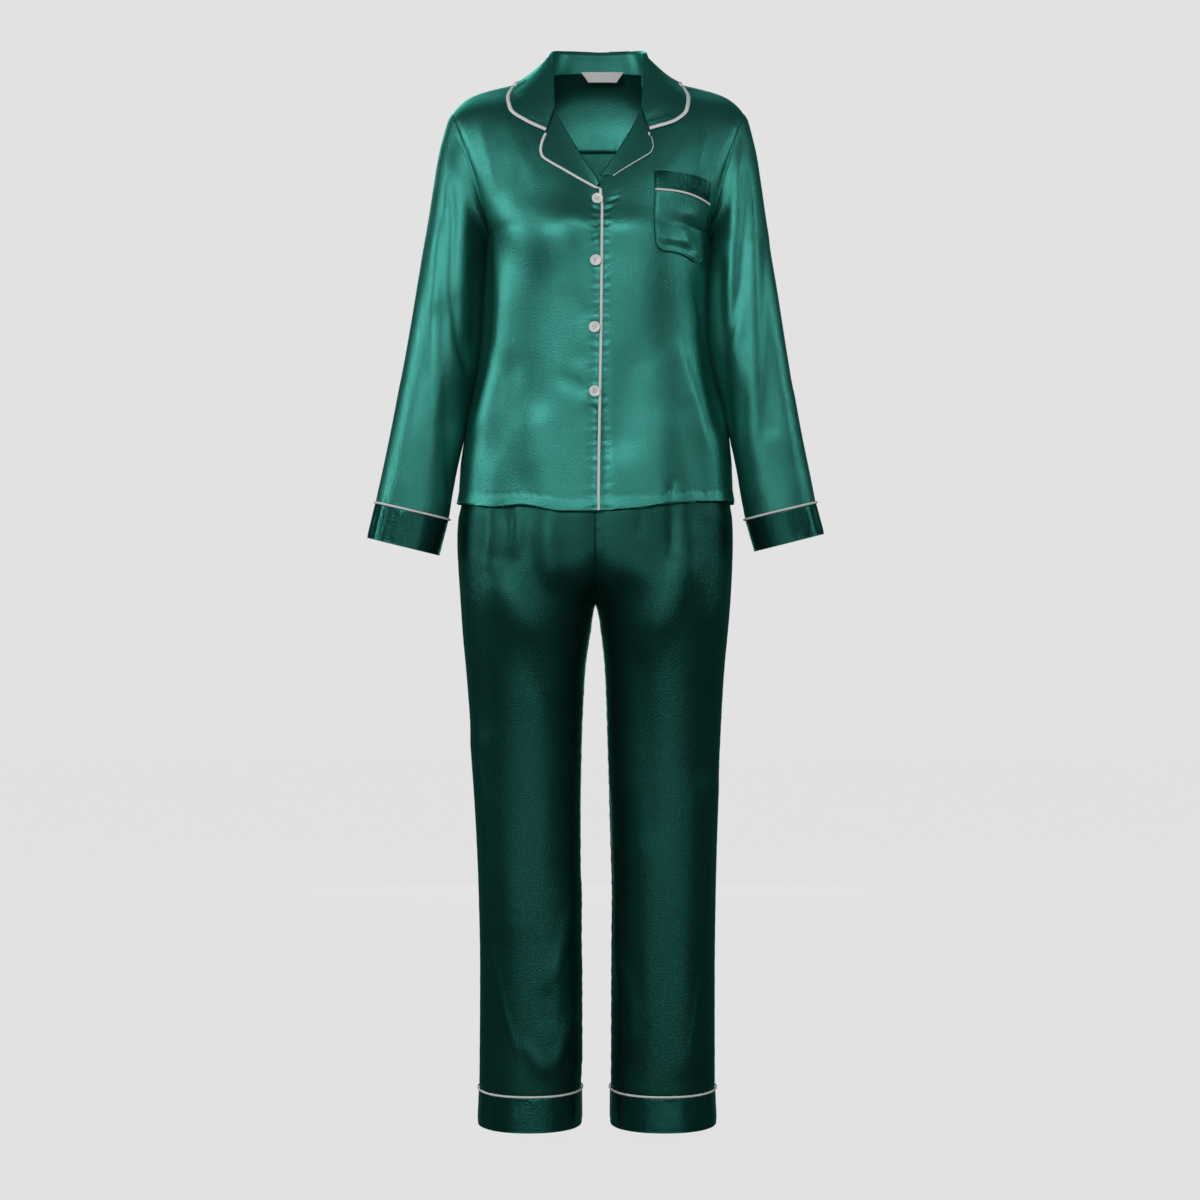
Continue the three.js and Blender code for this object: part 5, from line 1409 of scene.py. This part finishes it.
POCKET_CREASES = table(FOLD_COLUMNS, [
    [84, -232, 122, -236, 5, -1.6],
    [92, -224, 116, -226, 5, 1.3],
    [112, -214, 128, -238, 6, 1.6],
    [118, -200, 134, -214, 6, -1.2],
    [80, -180, 128, -192, 8, 1.4],
    [84, -200, 104, -216, 7, -0.9],
])
BAND_CREASES = table(FOLD_COLUMNS, [
    [84, -136, 86, -160, 7, 0.9],
    [112, -140, 118, -166, 10, -0.9],
])


def pocket():
    below = np.linspace(0, BAND_V - 0.004, 56)
    above = np.linspace(BAND_V + 0.004, 1, 22)
    for name, rows, creasing, material, slot, cut in (
        ("pocket", below, POCKET_CREASES, shirt_satin, "shirt_satin", (0.076, 0.088)),
        ("pocket_band", above, BAND_CREASES, band_satin, "trouser_satin", (0.082, 0.027)),
    ):
        points, normals = pocket_grid(rows)
        across = arc(points, 1)
        up = arc(points, 0)
        edge = np.minimum(across, across[:, -1:] - across)
        low = up if name == "pocket" else edge
        edge = np.minimum(edge, low)
        stitched = -0.6 * np.exp(-(((edge - 2.2) / 1.2) ** 2))
        lift = fold_height(creasing, points[..., 0], points[..., 2]) * ease(edge / 7) + stitched
        points = points + normals * lift[..., None]
        cloth(name, points, grid_normals(points, FORWARD), material)
    points, normals = pocket_grid(np.array([BAND_V - 0.01, BAND_V, BAND_V + 0.01]))
    centre = points[1] + normals[1] * (PIPING_THICKNESS / 2 + SEAM)
    piping("pocket_piping", "piping_pocket", (centre, normals[1], unit(points[2] - points[0])), BAND_PIPING,
           PIPING_THICKNESS)


def neck_label():
    """A blank label inside the back neck, wider at its top."""
    u, v = np.meshgrid(np.linspace(0, 1, 31), np.linspace(0, 1, 15))
    t = mix(0.885, 0.985, v)
    x = 6 + mix(39, 59, v) * (u - 0.5)
    low = np.full_like(x, -NECK_SHARE)
    high = np.full_like(x, NECK_SHARE)
    spot, normal = yoke
    for _ in range(30):
        s = (low + high) / 2
        left_of = spot(s, t)[..., 0] < x
        low = np.where(left_of, s, low)
        high = np.where(left_of, high, s)
    points = spot(low, t) - normal(low, t) * (CLOTH + 1.9)
    hang = (1 - v)[..., None]
    points = points[-1:] + np.array([0, -2.5, 6]) + hang * np.array([0, 1.5, -14])
    points[..., 0] = x
    edge = np.minimum(np.minimum(u, 1 - u) * 49, np.minimum(v, 1 - v) * 14)
    points = points + normal(low, t) * (0.25 * np.exp(-(((edge - 1.5) / 0.6) ** 2)))[..., None]
    mesh = walled(mesh_of_grid("label", points), FORWARD, -0.5)
    piece = place_piece("label", mesh, label_tape, "neck_label")


# Buttons, each sewn on with two bars of thread
def button_mesh():
    dish = [(0, 1.9), (4.6, 2.0), (5.3, 2.6)]
    rim = [(6.0, 3.0), (6.7, 2.9), (7.3, 2.4), (7.5, 1.6), (7.2, 0.5)]
    profile = [*dish, *rim, (6.5, 0), (0, 0)]
    bm = bmesh.new()
    verts = [bm.verts.new((r, 0, h)) for r, h in profile]
    edges = [bm.edges.new(pair) for pair in zip(verts, verts[1:])]
    bmesh.ops.spin(bm, geom=verts + edges, cent=(0, 0, 0), axis=(0, 0, 1), angle=2 * math.pi, steps=48,
                   use_merge=True)
    bmesh.ops.remove_doubles(bm, verts=bm.verts, dist=1e-4)
    bmesh.ops.recalc_face_normals(bm, faces=bm.faces)
    mesh = bpy.data.meshes.new("button_blank")
    bm.to_mesh(mesh)
    bm.free()
    blank = bpy.data.objects.new("button_blank", mesh)
    bpy.context.collection.objects.link(blank)
    bm = bmesh.new()
    for across in (-1.45, 1.45):
        for up in (-1.45, 1.45):
            bmesh.ops.create_cone(bm, cap_ends=True, segments=20, radius1=0.85, radius2=0.85, depth=12,
                                  matrix=Matrix.Translation((across, up, 1)))
    holes_mesh = bpy.data.meshes.new("holes")
    bm.to_mesh(holes_mesh)
    bm.free()
    holes = bpy.data.objects.new("holes", holes_mesh)
    bpy.context.collection.objects.link(holes)
    cut = blank.modifiers.new("holes", "BOOLEAN")
    cut.object = holes
    cut.operation = "DIFFERENCE"
    cut.solver = "EXACT"
    drilled = bpy.data.meshes.new_from_object(blank.evaluated_get(bpy.context.evaluated_depsgraph_get()))
    bpy.data.objects.remove(blank)
    bpy.data.objects.remove(holes)
    drilled.set_sharp_from_angle(angle=math.radians(40))
    return drilled


def thread_bars():
    bm = bmesh.new()
    for up in (-1.45, 1.45):
        for strand in (-0.35, 0, 0.35):
            bmesh.ops.create_uvsphere(bm, u_segments=10, v_segments=6, radius=1,
                                      matrix=Matrix.Translation((0, up + strand, 1.95))
                                      @ Matrix.Diagonal((1.75, 0.22, 0.32, 1)))
    mesh = bpy.data.meshes.new("thread_bars")
    bm.to_mesh(mesh)
    bm.free()
    return mesh


def buttons():
    drilled = button_mesh()
    bars = thread_bars()
    spot, normal = fronts[RIGHT]
    for k, (x, z) in enumerate(BUTTON_PLACES):
        s, t = on_front(RIGHT, np.array([x]), np.array([z]))
        facing = Vector(normal(s, t)[0])
        seat = Vector(spot(s, t)[0]) + facing * LIFT
        turn = Vector((0, 0, 1)).rotation_difference(facing).to_matrix().to_4x4()
        spin = Matrix.Rotation(math.radians((8, -12, 20, -4)[k]), 4, "Z")
        to_place = Matrix.Scale(MM, 4) @ Matrix.Translation(seat) @ turn @ spin
        for name, source, material, node, slot in (
            (f"button_{k + 1}_shell", drilled, button_shell, f"button_{k + 1}", "button_shell"),
            (f"button_{k + 1}_thread", bars, white_thread, None, "piping_tape"),
        ):
            mesh = source.copy()
            mesh.transform(to_place)
            place_piece(name, mesh, material, node)


def stitches(name, centres, normals, material, pitch=3.2, length=2.2, width=0.45):
    """A row of machine stitches along a line of points."""
    run = arc(centres[:, None], 0)[:, 0]
    at = np.arange(pitch / 2, run[-1], pitch)
    bm = bmesh.new()
    for distance in at:
        here = Vector([np.interp(distance, run, centres[:, k]) for k in range(3)])
        ahead = Vector([np.interp(distance + 0.5, run, centres[:, k]) for k in range(3)]) - here
        up = Vector([np.interp(distance, run, normals[:, k]) for k in range(3)]).normalized()
        if ahead.length < 1e-6:
            continue
        along = ahead.normalized()
        aside = up.cross(along).normalized()
        axes = Matrix((along, aside, up)).transposed().to_4x4()
        size = Matrix.Diagonal((length / 2, width / 2, 0.25, 1))
        place = Matrix.Scale(MM, 4) @ Matrix.Translation(here) @ axes @ size
        bmesh.ops.create_icosphere(bm, subdivisions=1, radius=1, matrix=place)
    mesh = bpy.data.meshes.new(name)
    bm.to_mesh(mesh)
    bm.free()
    if not mesh.polygons:
        return
    place_piece(name, mesh, material, None)


def hem_stitches(name, up, points, normals):
    """Follows the hem at its depth, on top of the cloth."""
    line = []
    facing = []
    for column in range(points.shape[1]):
        line.append([np.interp(HEM_DEPTH, up[:, column], points[:, column, k]) for k in range(3)])
        facing.append([np.interp(HEM_DEPTH, up[:, column], normals[:, column, k]) for k in range(3)])
    line = np.array(line)
    facing = unit(np.array(facing))
    stitches(name, line + facing * 0.1, facing, sewing_thread)


def pocket_stitches():
    path = [(0.02, v) for v in np.linspace(0.98, 0.04, 40)]
    path += [(u, 0.03) for u in np.linspace(0.05, 0.95, 30)]
    path += [(0.98, v) for v in np.linspace(0.04, 0.98, 40)]
    u = np.array([p[0] for p in path])
    v = np.array([p[1] for p in path])
    x = mix(read(POCKET_ROWS, "v", v, "x"), read(POCKET_ROWS, "v", v, "to_x"), u)
    z = mix(read(POCKET_ROWS, "v", v, "z"), read(POCKET_ROWS, "v", v, "to_z"), u ** 3)
    s, t = on_front(LEFT, x, z)
    spot, normal = fronts[LEFT]
    facing = normal(s, t)
    line = spot(s, t) + facing * over_front(x, z)[:, None]
    stitches("pocket_stitches", line, facing, sewing_thread, 2.8, 1.9)


for wearer_side in (RIGHT, LEFT):
    hem_stitches(f"hem_stitches_{NAMES[wearer_side]}", *shirt_front(wearer_side))
    sleeve(wearer_side)
    cuff(wearer_side)
    leg_band(wearer_side)
    trouser_panel(wearer_side, True)
    trouser_panel(wearer_side, False)
    tube_piping(f"cuff_piping_{NAMES[wearer_side]}", f"piping_cuff_{NAMES[wearer_side]}",
                lambda turn, t: cuff_place(wearer_side, turn, t), 0.003, 0.02)
    tube_piping(f"leg_piping_{NAMES[wearer_side]}", f"piping_leg_{NAMES[wearer_side]}",
                lambda turn, z: leg_ring(wearer_side, turn, z), LEG_END, 2)
hem_stitches("hem_stitches_back", *shirt_back())
shirt_yoke()
collar()
front_piping(lapel(RIGHT))
centre, facing, aside = lapel(LEFT)
tucked = (centre - aside * 1.5 - facing * 0.7, facing, aside)
piping("lapel_piping", "piping_lapel_left", tucked, LAPEL_PIPING, 1.3)
pocket()
pocket_stitches()
neck_label()
buttons()
waistband()


# Studio: a pale world, a pale floor, soft lights and the photograph's camera
def area_light(name, place, target, size, power_watts):
    light = bpy.data.lights.new(name, "AREA")
    light.shape = "RECTANGLE"
    light.size = size[0]
    light.size_y = size[1]
    light.energy = power_watts
    lamp = bpy.data.objects.new(name, light)
    lamp.location = place
    lamp.rotation_euler = (Vector(target) - Vector(place)).to_track_quat("-Z", "Y").to_euler()
    bpy.context.collection.objects.link(lamp)


def studio():
    world = bpy.data.worlds.new("studio")
    world.use_nodes = True
    nodes = world.node_tree.nodes
    links = world.node_tree.links
    nodes.clear()
    rays = nodes.new("ShaderNodeLightPath")
    backdrop = added(nodes, "Background", {"Color": (0.76, 0.76, 0.76, 1)})
    room = added(nodes, "Background", {"Color": (0.08, 0.08, 0.08, 1)})
    chosen = nodes.new("ShaderNodeMixShader")
    out = nodes.new("ShaderNodeOutputWorld")
    links.new(rays.outputs["Is Camera Ray"], chosen.inputs[0])
    links.new(room.outputs[0], chosen.inputs[1])
    links.new(backdrop.outputs[0], chosen.inputs[2])
    links.new(chosen.outputs[0], out.inputs["Surface"])
    bpy.context.scene.world = world

    bm = bmesh.new()
    low = Matrix.Translation((0, 0, -1.432))
    bmesh.ops.create_circle(bm, cap_ends=True, segments=96, radius=9, matrix=low)
    mesh = bpy.data.meshes.new("floor")
    bm.to_mesh(mesh)
    bm.free()
    floor = bpy.data.objects.new("floor", mesh)
    bpy.context.collection.objects.link(floor)
    material, nodes, links, shader = new_material("floor")
    fill(shader, {"Base Color": (0.02, 0.02, 0.02, 1), "Roughness": 0.9, "Specular IOR Level": 0})
    fill(shader, {"Emission Color": (1, 1, 1, 1), "Emission Strength": 0.75})
    mesh.materials.append(material)
    floor.visible_diffuse = False
    floor.visible_glossy = False

    area_light("left", (-3.3, -0.3, 0.5), (0, 0, -0.4), (0.6, 1.7), 31)
    area_light("high", (-0.2, -3.1, 0.75), (0, 0, -0.2), (1.4, 0.5), 19)
    area_light("chest", (-1.6, -2.8, 0.55), (0, 0, -0.2), (1.2, 0.5), 21)
    area_light("chest_right", (1.7, -2.7, 0.7), (0, 0, -0.2), (1.0, 0.4), 9)
    area_light("floor_bounce", (0.2, -3.3, -1.2), (0, 0, -0.5), (3.2, 0.4), 15)
    area_light("right", (3.3, -0.3, 0.5), (0, 0, -0.5), (0.6, 1.2), 14)
    area_light("back", (-0.5, 2.8, 1.2), (0, 0, -0.5), (2.2, 1.6), 30)
    area_light("back_low", (0, 3.3, -1.1), (0, 0, -0.8), (1.6, 0.5), 8)

    camera = bpy.data.cameras.new("camera")
    camera.lens = 79.4
    camera.sensor_width = 36
    eye = bpy.data.objects.new("camera", camera)
    eye.location = (0.0027, -3.6, -0.70)
    eye.rotation_euler = (math.pi / 2, 0, 0)
    bpy.context.collection.objects.link(eye)
    bpy.context.scene.camera = eye
    bpy.context.scene.view_settings.view_transform = "Standard"


studio()
